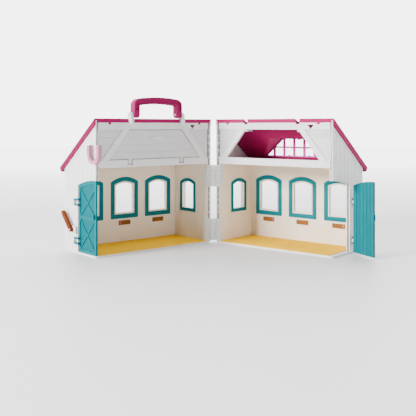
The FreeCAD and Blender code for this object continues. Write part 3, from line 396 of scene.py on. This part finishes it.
@dataclass(frozen=True)
class Boards:
    """Grooved boards moulded into a surface.

    Attributes:
        run: The direction in which the boards follow each other.
        pitch: Width of a board in millimetres.
        phase: Place of one groove.
        groove: Width of a groove.
        depth: Depth of a groove.
        tone: How much the boards differ in lightness.
        ink: How dark the grooves are, as a share.
    """

    run: Run
    pitch: float
    phase: float = 0.0
    groove: float = 0.8
    depth: float = 0.35
    tone: float = 0.015
    ink: float = 0.35


LOFT_BOARDS = Boards(Run.HEIGHT, 12.375, 154.5, depth=0.05, ink=0.5)


@dataclass(frozen=True)
class Hollow:
    """Painted shade over a band of a moulding, such as its sunk parts.

    Attributes:
        run: The direction along which the painted shade is placed.
        low: First place of the painted shade, in millimetres.
        high: Last place of the painted shade.
        tone: Lightness of the painted shade.
    """

    run: Run
    low: float
    high: float
    tone: float


@dataclass(frozen=True)
class Plastic:
    """Moulded plastic with a fine grain, slight flow marks, handling wear and painted shade over its sunk
    parts.

    Attributes:
        name: The finish's name.
        colour: Display colour.
        roughness: Mean roughness.
        grain: Depth of the fine grain in millimetres.
        sheen: Strength of its highlights.
        boards: Boards moulded into it, if any.
        hollow: Its sunk parts, if any.
        glow: Share of light that passes the plastic from behind.
        flow_size: How fine the flow marks are, in marks per millimetre.
        flow_shade: Lightness of the flow marks.
        scuff_size: How fine the scuffs are, in marks per millimetre.
        scuff_reach: How much the scuffs change the roughness.
        grain_size: How fine the grain is, in grains per millimetre.
        groove_shade: Lightness of the plastic in a groove.
        glow_depth: How far light gets into the plastic, in metres.
        blur: Half the width of the painted shade's soft border, in millimetres.
    """

    flow_size: ClassVar[float] = 0.035
    flow_shade: ClassVar[float] = 0.93
    scuff_size: ClassVar[float] = 0.9
    scuff_reach: ClassVar[float] = 0.1
    grain_size: ClassVar[float] = 2.2
    groove_shade: ClassVar[float] = 0.72
    glow_depth: ClassVar[float] = 0.003
    blur: ClassVar[float] = 0.2
    name: str
    colour: Colour
    roughness: float = 0.42
    grain: float = 0.02
    sheen: float = 0.25
    boards: Boards | None = None
    hollow: Hollow | None = None
    glow: float = 0.0

    def paint(self, space: Space) -> bpy.types.Material:
        """Make the material.

        Args:
            space: The directions of the piece that it dresses.

        Returns:
            The material.
        """
        palette = Palette(self.name)
        vector, parts = palette.place(space)
        flow = palette.mottle(vector, self.flow_size, 2.0)
        scuffs = palette.mottle(palette.stretch(vector, (1.0, 1.0, 0.25)), self.scuff_size, 4.0)
        fine = palette.mottle(vector, self.grain_size, 2.0)
        marks = palette.spread(flow, 0.3, 0.7, 0.0, 1.0)
        colour = palette.blend(marks, linear(self.colour), self.shaded(self.flow_shade))
        height = palette.math("MULTIPLY", fine, self.grain)
        if self.boards is not None:
            colour, height = self.add_boards(palette, parts, colour, height)
        # Painted shade: the sunk parts are drawn darker, as if they lay in shade.
        if self.hollow is not None:
            colour = self.paint_sunk_shade(palette, parts, colour)
        palette.feed(palette.shader.inputs["Base Color"], colour)
        rough = palette.math("ADD", self.roughness - self.scuff_reach / 2,
                             palette.math("MULTIPLY", scuffs, self.scuff_reach))
        palette.feed(palette.shader.inputs["Roughness"], rough)
        palette.shader.inputs["Specular IOR Level"].default_value = self.sheen
        if self.glow > 0.0:
            palette.shader.inputs["Subsurface Weight"].default_value = self.glow
            palette.shader.inputs["Subsurface Radius"].default_value = (self.glow_depth,) * 3
        palette.bump(height)
        return palette.material

    def shaded(self, share: float) -> tuple[float, ...]:
        """The scene colour of the plastic at a share of its lightness."""
        return tuple(part * share for part in linear(self.colour)[:3]) + (1.0,)

    def add_boards(self, palette: Palette, parts: list[bpy.types.NodeSocket],
                   colour: bpy.types.NodeSocket, height: bpy.types.NodeSocket
                   ) -> tuple[bpy.types.NodeSocket, bpy.types.NodeSocket]:
        """Draw the boards over the plain plastic.

        Args:
            palette: The material being drawn.
            parts: Coordinates in millimetres.
            colour: Colour so far.
            height: Height so far.

        Returns:
            The colour and the height with the boards.
        """
        boards = self.boards
        place = parts[boards.run.value]
        lines = palette.seams(place, boards.pitch, boards.phase, boards.groove)
        along = palette.math("SUBTRACT", place, boards.phase)
        number = palette.math("FLOOR", palette.math("DIVIDE", along, boards.pitch))
        luck = palette.node("ShaderNodeTexWhiteNoise", noise_dimensions="1D")
        palette.join(number, luck.inputs["W"])
        tone = palette.math("ADD", 1.0 - boards.tone, palette.math("MULTIPLY", luck.outputs[0], boards.tone))
        toned = palette.node("ShaderNodeMix", data_type="RGBA", blend_type="MULTIPLY")
        toned.inputs[0].default_value = 1.0
        palette.join(colour, toned.inputs[6])
        palette.join(tone, toned.inputs[7])
        lined = palette.blend(palette.math("MULTIPLY", lines, boards.ink), toned.outputs[2],
                              self.shaded(self.groove_shade))
        sunk = palette.math("SUBTRACT", height, palette.math("MULTIPLY", lines, boards.depth))
        return lined, sunk

    def paint_sunk_shade(self, palette: Palette, parts: list[bpy.types.NodeSocket],
                       colour: bpy.types.NodeSocket) -> bpy.types.NodeSocket:
        """Paint shade over the sunk parts.

        Args:
            palette: The material being drawn.
            parts: Coordinates in millimetres.
            colour: Colour so far.

        Returns:
            The colour with painted shade over its sunk parts.
        """
        hollow = self.hollow
        place = parts[hollow.run.value]
        begun = palette.spread(place, hollow.low - self.blur, hollow.low + self.blur, 0.0, 1.0)
        lasting = palette.spread(place, hollow.high + self.blur, hollow.high - self.blur, 0.0, 1.0)
        sunk = palette.math("MULTIPLY", begun, lasting)
        shade = palette.node("ShaderNodeMix", data_type="RGBA", blend_type="MULTIPLY")
        palette.join(sunk, shade.inputs[0])
        palette.join(colour, shade.inputs[6])
        shade.inputs[7].default_value = (hollow.tone, hollow.tone, hollow.tone, 1.0)
        return shade.outputs[2]


@dataclass(frozen=True)
class Bedding:
    """Printed straw: short golden strands that cross each other.

    Attributes:
        name: The finish's name.
        light: Colour of the strands.
        deep: Colour between the strands.
        angles: Directions in which the strands lie, in radians.
        strand: How fine a strand is along and across, in strands per millimetre.
        relief: Height of the strands in millimetres.
    """

    angles: ClassVar[tuple[float, ...]] = (0.35, 1.7, 3.0)
    strand: ClassVar[Scale] = (0.09, 1.3, 1.0)
    relief: ClassVar[float] = 0.12
    name: str = "printed_straw"
    light: Colour = (0.99, 0.80, 0.03)
    deep: Colour = (0.90, 0.67, 0.03)

    def paint(self, space: Space) -> bpy.types.Material:
        """Make the material.

        Args:
            space: The directions of the piece that it dresses.

        Returns:
            The material.
        """
        palette = Palette(self.name)
        vector, _ = palette.place(space)
        strands = []
        for angle in self.angles:
            turned = palette.node("ShaderNodeVectorRotate", rotation_type="Z_AXIS")
            palette.join(vector, turned.inputs["Vector"])
            turned.inputs["Angle"].default_value = angle
            strands.append(palette.mottle(palette.stretch(turned.outputs[0], self.strand), 1.0, 2.0, 0.4))
        top = palette.math("MAXIMUM", palette.math("MAXIMUM", strands[0], strands[1]), strands[2])
        share = palette.spread(top, 0.48, 0.74, 0.0, 1.0)
        patches = palette.mottle(vector, 0.03, 2.0)
        colour = palette.blend(share, linear(self.deep), linear(self.light))
        soft = palette.blend(palette.spread(patches, 0.35, 0.65, 0.0, 0.35), colour, linear(self.light))
        palette.feed(palette.shader.inputs["Base Color"], soft)
        palette.shader.inputs["Roughness"].default_value = 0.75
        palette.shader.inputs["Specular IOR Level"].default_value = 0.02
        palette.bump(palette.math("MULTIPLY", share, self.relief))
        return palette.material


@dataclass(frozen=True)
class SawnWood:
    """Wood grain moulded and printed on a small board, with a dot where it has one.

    Attributes:
        name: The finish's name.
        light: Colour of the pale grain.
        dark: Colour of the dark grain.
        dot: Colour of the dot.
        centre: Place of the dot: across and height, in millimetres.
        radius: Radius of the dot, or zero for none.
        fibres: How fine the fibres are across, deep and in height, per millimetre.
        rings: How fine the year rings are across, deep and in height, per millimetre.
        dot_edge: Width of the dot's soft edge in millimetres.
        relief: Height of the grain in millimetres.
    """

    fibres: ClassVar[Scale] = (0.12, 0.4, 1.4)
    rings: ClassVar[Scale] = (0.05, 0.2, 0.5)
    dot_edge: ClassVar[float] = 0.3
    relief: ClassVar[float] = 0.1
    name: str
    light: Colour = (0.56, 0.37, 0.19)
    dark: Colour = (0.46, 0.29, 0.13)
    dot: Colour = (0.86, 0.36, 0.50)
    centre: tuple[float, float] = (0.0, 0.0)
    radius: float = 0.0

    def paint(self, space: Space) -> bpy.types.Material:
        """Make the material.

        Args:
            space: The directions of the piece that it dresses.

        Returns:
            The material.
        """
        palette = Palette(self.name)
        vector, parts = palette.place(space)
        fibre = palette.mottle(palette.stretch(vector, self.fibres), 1.0, 5.0, 0.8)
        rings = palette.mottle(palette.stretch(vector, self.rings), 1.0, 2.0, 1.5)
        share = palette.spread(palette.math("ADD", fibre, palette.math("MULTIPLY", rings, 0.6)),
                               0.6, 1.0, 0.0, 1.0)
        colour = palette.blend(share, linear(self.dark), linear(self.light))
        if self.radius > 0.0:
            aside = palette.math("SUBTRACT", parts[0], self.centre[0])
            above = palette.math("SUBTRACT", parts[2], self.centre[1])
            squares = palette.math("ADD", palette.math("MULTIPLY", aside, aside),
                                   palette.math("MULTIPLY", above, above))
            away = palette.math("SQRT", squares)
            inside = palette.spread(away, self.radius, self.radius - self.dot_edge, 0.0, 1.0)
            colour = palette.blend(inside, colour, linear(self.dot))
        palette.feed(palette.shader.inputs["Base Color"], colour)
        palette.feed(palette.shader.inputs["Roughness"], palette.spread(fibre, 0.3, 0.7, 0.55, 0.7))
        palette.shader.inputs["Specular IOR Level"].default_value = 0.08
        palette.bump(palette.math("MULTIPLY", share, self.relief))
        return palette.material


@dataclass(frozen=True)
class BrightSteel:
    """Drawn steel of a pin, with fine marks round it.

    Attributes:
        name: The finish's name.
        dull: Colour of the marks.
        bright: Colour between the marks.
        marks: How fine the marks are across, deep and in height, per millimetre.
        relief: Depth of the marks in millimetres.
    """

    name: str = "drawn_steel"
    dull: Colour = (0.66, 0.67, 0.69)
    bright: Colour = (0.8, 0.8, 0.82)
    marks: Scale = (0.4, 0.4, 6.0)
    relief: float = 0.01

    def paint(self, space: Space) -> bpy.types.Material:
        """Make the material.

        Args:
            space: The directions of the piece that it dresses.

        Returns:
            The material.
        """
        palette = Palette(self.name)
        vector, _ = palette.place(space)
        marks = palette.mottle(palette.stretch(vector, self.marks), 1.0, 3.0)
        tone = palette.blend(marks, linear(self.dull), linear(self.bright))
        palette.feed(palette.shader.inputs["Base Color"], tone)
        palette.shader.inputs["Metallic"].default_value = 1.0
        palette.feed(palette.shader.inputs["Roughness"], palette.spread(marks, 0.2, 0.8, 0.28, 0.42))
        palette.bump(palette.math("MULTIPLY", marks, self.relief))
        return palette.material


class Workshop:
    """Shared tools for the sub-assemblies: edges and finishes.

    Attributes:
        join_reach: Points of a mesh nearer than this are joined before its edges are softened.
        corner_reach: Points nearer than this are joined afterwards.
        edge_steps: Faces across a softened edge.
        edge_angle: Edges sharper than this are softened, in radians.
    """

    join_reach: ClassVar[float] = 0.01 * MM
    corner_reach: ClassVar[float] = 0.002 * MM
    edge_steps: ClassVar[int] = 2
    edge_angle: ClassVar[float] = math.radians(40.0)

    def __init__(self, frame: Frame, layout: Layout) -> None:
        """Keep the frame and its layout.

        Args:
            frame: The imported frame.
            layout: Where the halves stand.
        """
        self.frame = frame
        self.layout = layout

    def dress(self, node: str, material: bpy.types.Material, edge: float) -> None:
        """Give a CAD piece its finish and soften its edges.

        Args:
            node: The piece's name.
            material: Its finish.
            edge: Width of its softened edges in millimetres.
        """
        piece = self.frame["nodes"][node]
        piece.data.materials.clear()
        piece.data.materials.append(material)
        self.soften(piece, edge)
        LOG.info("dressed %s with %s", node, material.name)

    def soften(self, piece: bpy.types.Object, edge: float) -> None:
        """Round a piece's sharp edges.

        Args:
            piece: The piece.
            edge: Width of its softened edges in millimetres.
        """
        weld = piece.modifiers.new("weld", "WELD")
        weld.merge_threshold = self.join_reach
        bevel = piece.modifiers.new("soft_edges", "BEVEL")
        bevel.width = edge * MM
        bevel.segments = self.edge_steps
        bevel.limit_method = "ANGLE"
        bevel.angle_limit = self.edge_angle
        bevel.use_clamp_overlap = True
        bevel.harden_normals = False
        joined = piece.modifiers.new("joined_corners", "WELD")
        joined.merge_threshold = self.corner_reach


@dataclass
class OuterShell:
    """White outer walls, base and fascia of one half, with painted shade over the fascia's sunk panels.

    Attributes:
        half: The half.
        white: Display colour of the plastic.
        end_board: Width of a gable's boards in millimetres.
        back_run: Length of the boarded back wall.
        back_count: How many boards the back wall has.
        back_start: Place of the back wall's first groove.
        sunk: First and last place of the fascia's sunk panels, from its front.
        painted_shade_tone: Lightness of the sunk panels.
    """

    half: Half
    white: Colour = SHELL_WHITE
    end_board: float = 12.5
    back_run: float = 238.4
    back_count: int = 19
    back_start: float = 6.6
    sunk: tuple[float, float] = (1.2, 4.0)
    painted_shade_tone: float = 0.86

    def build(self, shop: Workshop) -> None:
        """Dress every shell piece.

        Args:
            shop: The shared tools.
        """
        space = shop.layout.half(self.half)
        name = self.half.label
        end_boards = Boards(Run.DEEP, self.end_board, 0.0, depth=0.05, ink=0.6)
        ends = Plastic(f"{name}_end_boards", self.white, boards=end_boards).paint(space)
        back_boards = Boards(Run.ACROSS, self.back_run / self.back_count, self.back_start,
                             depth=0.05, ink=0.6)
        back = Plastic(f"{name}_back_boards", self.white, boards=back_boards)
        plain = Plastic(f"{name}_white_plastic", self.white)
        # Painted shade: the fascia's sunk panels are drawn darker, as if shaded by the beams around them.
        level = Plastic(f"{name}_fascia_boards", self.white, boards=LOFT_BOARDS,
                        hollow=Hollow(Run.DEEP, *self.sunk, self.painted_shade_tone))
        shop.dress(f"{name}_back_shell", back.paint(space), edge=0.3)
        shop.dress(f"{name}_hinge_end_shell", ends, edge=0.25)
        shop.dress(f"{name}_door_end_shell", ends, edge=0.25)
        shop.dress(f"{name}_base", plain.paint(space), edge=0.4)
        shop.dress(f"{name}_fascia", level.paint(space), edge=0.3)


@dataclass
class Interior:
    """Lined walls, windows, straw and stall plates of one half.

    Attributes:
        dotted: Numbers of the plates that carry a dot, counted from the case hinge.
        half: The half.
        wall: Display colour of the lining.
        teal: Display colour of the window frames.
        lining_board: Width of the lining's boards in millimetres.
        dot_reach: Distance of a plate's dot from its middle.
        dot_radius: Radius of the dot.
    """

    dotted: ClassVar[dict[Half, tuple[int, ...]]] = {Half.LEFT: (2,), Half.RIGHT: (1, 3)}
    half: Half
    wall: Colour = (0.95, 0.90, 0.83)
    teal: Colour = (0.03, 0.42, 0.46)
    lining_board: float = 24.4
    dot_reach: float = 9.6
    dot_radius: float = 1.9

    def build(self, shop: Workshop) -> None:
        """Dress every inner piece.

        Args:
            shop: The shared tools.
        """
        space = shop.layout.half(self.half)
        name = self.half.label
        shop.dress(f"{name}_back_liner", self.lining("back", Run.ACROSS).paint(space), edge=0.2)
        ends = self.lining("end", Run.DEEP).paint(space)
        for piece in ("hinge_end_liner", "door_end_liner", "loft_floor"):
            shop.dress(f"{name}_{piece}", ends, edge=0.2)
        frames = Plastic(f"{name}_teal_frames", self.teal, 0.5, sheen=0.04).paint(space)
        for piece in ("window_frame_1", "window_frame_2", "window_frame_3", "side_window_frame"):
            shop.dress(f"{name}_{piece}", frames, edge=0.3)
        shop.dress(f"{name}_straw_mat", Bedding(f"{name}_printed_straw").paint(space), edge=0.2)
        for number in (1, 2, 3):
            self.dress_plate(shop, number)

    def lining(self, wall: str, run: Run) -> Plastic:
        """The lining of a wall, with boards that follow each other along a run."""
        boards = Boards(run, self.lining_board, 0.0, groove=0.5, depth=0.05, tone=0.02)
        return Plastic(f"{self.half.label}_{wall}_lining", self.wall, 0.55, boards=boards)

    def dress_plate(self, shop: Workshop, number: int) -> None:
        """Dress one stall plate, with a dot near its outer end if it has one.

        Args:
            shop: The shared tools.
            number: The plate's number, counted from the case hinge.
        """
        space = shop.layout.half(self.half)
        node = f"{self.half.label}_stall_plate_{number}"
        low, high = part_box(node)
        across, _, height = space.read((low + high) / 2)
        spot = (across + self.dot_reach, height)
        radius = self.dot_radius if number in self.dotted[self.half] else 0.0
        wood = SawnWood(f"{node}_wood", centre=spot, radius=radius)
        shop.dress(node, wood.paint(space), edge=0.3)


@dataclass
class Roof:
    """Roof panel, dormer hood and lattice of one half, with painted shade at the panel's outer end.

    Attributes:
        rake_painted_shade: Lightness of the panel's outer end on each half.
        half: The half.
        berry: Display colour of the panel.
        hood: Display colour of the dormer hood.
        pink: Display colour of the lattice.
        panel_run: Depth of the boarded panel in millimetres.
        panel_count: How many boards the panel has.
        panel_start: Place of the panel's first groove.
        hood_board: Width of the hood's boards.
        hood_start: Place of one groove of the hood.
        rake: First and last place of the painted shade at the outer end, from the end itself.
    """

    rake_painted_shade: ClassVar[dict[Half, float]] = {Half.LEFT: 0.55, Half.RIGHT: 0.95}
    half: Half
    berry: Colour = (0.62, 0.09, 0.34)
    hood: Colour = (0.74, 0.19, 0.46)
    pink: Colour = (0.70, 0.28, 0.57)
    panel_run: float = 114.5
    panel_count: int = 9
    panel_start: float = -0.1
    hood_board: float = 6.5
    hood_start: float = 3.0
    rake: tuple[float, float] = (-0.4, 2.0)

    def build(self, shop: Workshop) -> None:
        """Dress the roof pieces.

        Args:
            shop: The shared tools.
        """
        space = shop.layout.half(self.half)
        name = self.half.label
        end = self.outer_end(shop, space)
        boards = Boards(Run.DEEP, self.panel_run / self.panel_count, self.panel_start,
                        depth=0.05, tone=0.04)
        # Painted shade: the panel's outer end is drawn darker, much more on the left half than on the right,
        # for the way the light falls.
        shade = Hollow(Run.ACROSS, end + self.rake[0], end + self.rake[1], self.rake_painted_shade[self.half])
        panel = Plastic(f"{name}_roof_boards", self.berry, 0.5, sheen=0.05, boards=boards, hollow=shade)
        shop.dress(f"{name}_roof", panel.paint(space), edge=0.35)
        boards = Boards(Run.HEIGHT, self.hood_board, self.hood_start, groove=0.6, depth=0.2, tone=0.08)
        hood = Plastic(f"{name}_hood_boards", self.hood, 0.5, sheen=0.08, boards=boards)
        shop.dress(f"{name}_dormer_hood", hood.paint(space), edge=0.3)
        lattice = Plastic(f"{name}_lattice_pink", self.pink, 0.5, sheen=0.05)
        shop.dress(f"{name}_dormer_lattice", lattice.paint(space), edge=0.25)

    def outer_end(self, shop: Workshop, space: Space) -> float:
        """Find the roof's outer end.

        Args:
            shop: The shared tools.
            space: The half's directions.

        Returns:
            Its distance from the case hinge, in millimetres.
        """
        piece = shop.frame["nodes"][f"{self.half.label}_roof"]
        return max(space.read(piece.matrix_world @ corner.co)[0] for corner in piece.data.vertices)


@dataclass
class Door:
    """Teal door leaf of one half, with painted shade over its sunk panels.

    Attributes:
        half: The half.
        teal: Display colour of the plastic.
        board: Width of a board in millimetres.
        board_start: Place of one groove, from the door's axis.
        sunk: First and last place of the sunk panels, from the door's axis.
        painted_shade_tone: Lightness of the sunk panels.
    """

    half: Half
    teal: Colour = (0.0, 0.42, 0.45)
    board: float = 9.2
    board_start: float = -63.8
    sunk: tuple[float, float] = (-4.6, -3.5)
    painted_shade_tone: float = 0.8

    def build(self, shop: Workshop) -> None:
        """Dress the leaf.

        Args:
            shop: The shared tools.
        """
        boards = Boards(Run.DEEP, self.board, self.board_start, depth=0.3, tone=0.05, ink=0.8)
        # Painted shade: the panels sunk between the frame and braces are drawn darker, as if shaded.
        finish = Plastic(f"{self.half.label}_door_teal", self.teal, 0.5, sheen=0.05, boards=boards,
                         hollow=Hollow(Run.ACROSS, *self.sunk, self.painted_shade_tone))
        shop.dress(f"{self.half.label}_door", finish.paint(shop.layout.door(self.half)), edge=0.3)


@dataclass
class CaseHinges:
    """Hinge leaves of both halves, with painted shade in their grooves, and the steel pins.

    Attributes:
        levels: Where a half carries its leaves.
        pins: The sets of pins.
        white: Display colour of the leaves.
        sunk: First and last place of the leaves' grooves, from their front, in millimetres.
        painted_shade_tone: Lightness of the grooves.
    """

    levels: ClassVar[tuple[str, ...]] = ("lower", "upper")
    pins: ClassVar[tuple[str, ...]] = ("case_hinge_pins", "handle_pins", "flap_pins")
    white: Colour = (0.89, 0.89, 0.89)
    sunk: tuple[float, float] = (0.6, 1.5)
    painted_shade_tone: float = 0.7

    def build(self, shop: Workshop) -> None:
        """Dress the hinges.

        Args:
            shop: The shared tools.
        """
        for half in Half:
            # Painted shade: the grooves of the hinge leaves are drawn darker, as if shaded.
            white = Plastic(f"{half.label}_hinge_white", self.white, 0.35, glow=0.2,
                            hollow=Hollow(Run.DEEP, *self.sunk, self.painted_shade_tone))
            paint = white.paint(shop.layout.half(half))
            for level in self.levels:
                shop.dress(f"{half.label}_{level}_hinge_leaf", paint, edge=0.25)
        steel = BrightSteel().paint(shop.layout.half(Half.LEFT))
        for pins in self.pins:
            shop.dress(pins, steel, edge=0.15)


@dataclass
class CarryHandle:
    """Handle that folds over the ridge, and its brackets.

    Attributes:
        berry: Display colour of the handle.
        white: Display colour of the brackets.
    """

    berry: Colour = (0.57, 0.10, 0.33)
    white: Colour = SHELL_WHITE

    def build(self, shop: Workshop) -> None:
        """Dress the handle.

        Args:
            shop: The shared tools.
        """
        space = shop.layout.half(Half.LEFT)
        berry = Plastic("handle_berry", self.berry, 0.4, sheen=0.1)
        shop.dress("carry_handle", berry.paint(space), edge=1.0)
        white = Plastic("bracket_white", self.white).paint(space)
        shop.dress("handle_bracket_1", white, edge=0.4)
        shop.dress("handle_bracket_2", white, edge=0.4)


@dataclass
class LoftFlap:
    """Boarded flap in front of the left loft, with painted shade over its sunk panel.

    Attributes:
        white: Display colour of the plastic.
        sunk: First and last place of the panel behind the grip, from the fascia's front, in
            millimetres.
        painted_shade_tone: Lightness of the panel.
    """

    white: Colour = SHELL_WHITE
    sunk: tuple[float, float] = (0.6, 4.0)
    painted_shade_tone: float = 0.86

    def build(self, shop: Workshop) -> None:
        """Dress the flap.

        Args:
            shop: The shared tools.
        """
        # Painted shade: the flap's panel is drawn darker, as if shaded, so the beams and grip stand out.
        boards = Plastic("flap_boards", self.white, boards=LOFT_BOARDS,
                         hollow=Hollow(Run.DEEP, *self.sunk, self.painted_shade_tone))
        shop.dress("loft_flap", boards.paint(shop.layout.half(Half.LEFT)), edge=0.3)


@dataclass
class DoorBar:
    """Brown bar that swings across the left door, and its block.

    Attributes:
        light: Colour of the bar's pale grain.
        dark: Colour of its dark grain.
        white: Display colour of the block.
    """

    light: Colour = (0.45, 0.20, 0.07)
    dark: Colour = (0.36, 0.15, 0.05)
    white: Colour = SHELL_WHITE

    def build(self, shop: Workshop) -> None:
        """Dress the bar.

        Args:
            shop: The shared tools.
        """
        space = shop.layout.half(Half.LEFT)
        shop.dress("door_bar", SawnWood("bar_brown", self.light, self.dark).paint(space), edge=0.5)
        shop.dress("door_bar_block", Plastic("block_white", self.white).paint(space), edge=0.4)


@dataclass
class Latch:
    """Pink horseshoe latch with painted shade in its groove, its pin and the catch peg.

    Attributes:
        pink: Display colour of the horseshoe.
        white: Display colour of the pin and the peg.
        groove_reach: Distance of the groove's floor beyond the door's axis, in millimetres.
        thickness: Depth of the horseshoe's sunk parts that get painted shade.
        painted_shade_tone: Lightness of the sunk parts.
    """

    pink: Colour = (0.93, 0.64, 0.74)
    white: Colour = SHELL_WHITE
    groove_reach: float = 6.5
    thickness: float = 8.0
    painted_shade_tone: float = 0.66

    def build(self, shop: Workshop) -> None:
        """Dress the latch.

        Args:
            shop: The shared tools.
        """
        space = shop.layout.half(Half.LEFT)
        groove = shop.layout.door_axis[0] + self.groove_reach
        # Painted shade: the horseshoe's groove is drawn darker, as if shaded.
        pink = Plastic("latch_pink", self.pink, 0.4, sheen=0.15,
                       hollow=Hollow(Run.ACROSS, groove - self.thickness, groove, self.painted_shade_tone))
        shop.dress("horseshoe_latch", pink.paint(space), edge=0.5)
        white = Plastic("peg_white", self.white).paint(space)
        shop.dress("latch_pin", white, edge=0.2)
        shop.dress("latch_catch_peg", white, edge=0.3)


@dataclass(frozen=True)
class Lamp:
    """One square soft light.

    Attributes:
        name: Its name.
        place: Where it hangs, in metres.
        size: Its width in metres.
        power: Its power in watts.
    """

    name: str
    place: tuple[float, float, float]
    size: float
    power: float


@dataclass(frozen=True)
class Studio:
    """Pale floor, soft lights and the photograph's camera.

    Attributes:
        distance: Distance of the camera in front of the case hinge.
        aside: Place of the camera to the right of the case hinge.
        height: Height of the camera.
        focal: Focal length in millimetres on a sensor 36 mm wide.
        drop: Shift of the picture, as a share of its width.
        front_glow: Brightness of the room in front of the stable.
        back_glow: Brightness of the backdrop.
        sweep_glow: Brightness that the far floor adds, to run into the backdrop.
        sweep: Where the far floor begins and ends to add it, behind the stable, in metres.
        floor_reach: Half the width of the floor.
        floor_light: Display colour of the floor.
        floor_shade: Display colour of its faint clouds.
        lamps: The soft lights.
    """

    distance: float = 1.2641
    aside: float = -0.0098
    height: float = 0.2094
    focal: float = 60.46
    drop: float = -0.1962
    front_glow: float = 0.06
    back_glow: float = 5.6
    sweep_glow: float = 3.0
    sweep: tuple[float, float] = (0.4, 2.6)
    floor_reach: float = 6.0
    floor_light: Colour = (0.85, 0.85, 0.855)
    floor_shade: Colour = (0.835, 0.835, 0.84)
    lamps: tuple[Lamp, ...] = (
        Lamp("key", (-2.3, -1.5, 1.1), 0.9, 225.0),
        Lamp("fill", (1.4, -1.9, 0.6), 0.8, 15.0),
        Lamp("top", (0.35, -0.75, 1.9), 0.4, 12.0),
    )

    def build(self, layout: Layout) -> None:
        """Set up floor, lights and camera.

        Args:
            layout: Where the halves stand.
        """
        self.lay_floor()
        self.light()
        self.place_camera(layout)

    def lay_floor(self) -> None:
        """Lay the pale floor."""
        mesh = bmesh.new()
        bmesh.ops.create_grid(mesh, x_segments=8, y_segments=8, size=self.floor_reach)
        data = bpy.data.meshes.new("floor")
        mesh.to_mesh(data)
        mesh.free()
        palette = Palette("pale_floor")
        place = palette.node("ShaderNodeTexCoord")
        cloud = palette.mottle(place.outputs["Object"], 3.0, 2.0)
        tone = palette.blend(cloud, linear(self.floor_light), linear(self.floor_shade))
        palette.feed(palette.shader.inputs["Base Color"], tone)
        palette.shader.inputs["Roughness"].default_value = 0.5
        palette.shader.inputs["Specular IOR Level"].default_value = 0.3
        parts = palette.node("ShaderNodeSeparateXYZ")
        palette.join(place.outputs["Object"], parts.inputs[0])
        palette.shader.inputs["Emission Color"].default_value = (1.0, 1.0, 1.0, 1.0)
        far = palette.spread(parts.outputs[1], *self.sweep, 0.0, self.sweep_glow)
        palette.feed(palette.shader.inputs["Emission Strength"], far)
        data.materials.append(palette.material)
        floor = bpy.data.objects.new("floor", data)
        bpy.context.scene.collection.objects.link(floor)

    def light(self) -> None:
        """Light the backdrop more than the front, and hang the soft lights."""
        world = bpy.data.worlds.new("studio")
        world.use_nodes = True
        tree = world.node_tree
        background = tree.nodes["Background"]
        coordinates = tree.nodes.new("ShaderNodeTexCoord")
        parts = tree.nodes.new("ShaderNodeSeparateXYZ")
        fade = tree.nodes.new("ShaderNodeMapRange")
        fade.interpolation_type = "SMOOTHSTEP"
        for socket, value in zip(fade.inputs[1:5], (-0.2, 0.7, self.front_glow, self.back_glow)):
            socket.default_value = value
        tree.links.new(coordinates.outputs["Generated"], parts.inputs[0])
        tree.links.new(parts.outputs[1], fade.inputs[0])
        tree.links.new(fade.outputs[0], background.inputs[1])
        background.inputs[0].default_value = (1.0, 1.0, 1.0, 1.0)
        bpy.context.scene.world = world
        for lamp in self.lamps:
            self.panel(lamp)

    def panel(self, lamp: Lamp) -> None:
        """Hang one square light that faces the stable.

        Args:
            lamp: Its name, place, width and power.
        """
        data = bpy.data.lights.new(lamp.name, "AREA")
        data.size = lamp.size
        data.energy = lamp.power
        hung = bpy.data.objects.new(lamp.name, data)
        hung.location = lamp.place
        aim = Vector((0.0, 0.0, 0.1)) - hung.location
        hung.rotation_euler = aim.to_track_quat("-Z", "Y").to_euler()
        bpy.context.scene.collection.objects.link(hung)

    def place_camera(self, layout: Layout) -> None:
        """Put the camera where the photograph was taken.

        Args:
            layout: Where the halves stand.
        """
        data = bpy.data.cameras.new("photo_camera")
        data.sensor_width = 36.0
        data.lens = self.focal
        data.shift_y = self.drop
        data.clip_end = 50.0
        camera = bpy.data.objects.new("photo_camera", data)
        camera.location = layout.hinge + Vector((self.aside, -self.distance, self.height))
        camera.rotation_euler = (math.radians(90.0), 0.0, 0.0)
        bpy.context.scene.collection.objects.link(camera)
        bpy.context.scene.camera = camera


def main() -> None:
    """Load the frame, build every sub-assembly and set up the studio."""
    logging.basicConfig(level=logging.INFO, format="%(message)s")
    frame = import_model()
    layout = Layout.read(frame)
    shop = Workshop(frame, layout)
    for half in Half:
        OuterShell(half).build(shop)
        Interior(half).build(shop)
        Roof(half).build(shop)
        Door(half).build(shop)
    CaseHinges().build(shop)
    CarryHandle().build(shop)
    LoftFlap().build(shop)
    DoorBar().build(shop)
    Latch().build(shop)
    Studio().build(layout)


if __name__ == "__main__":
    main()
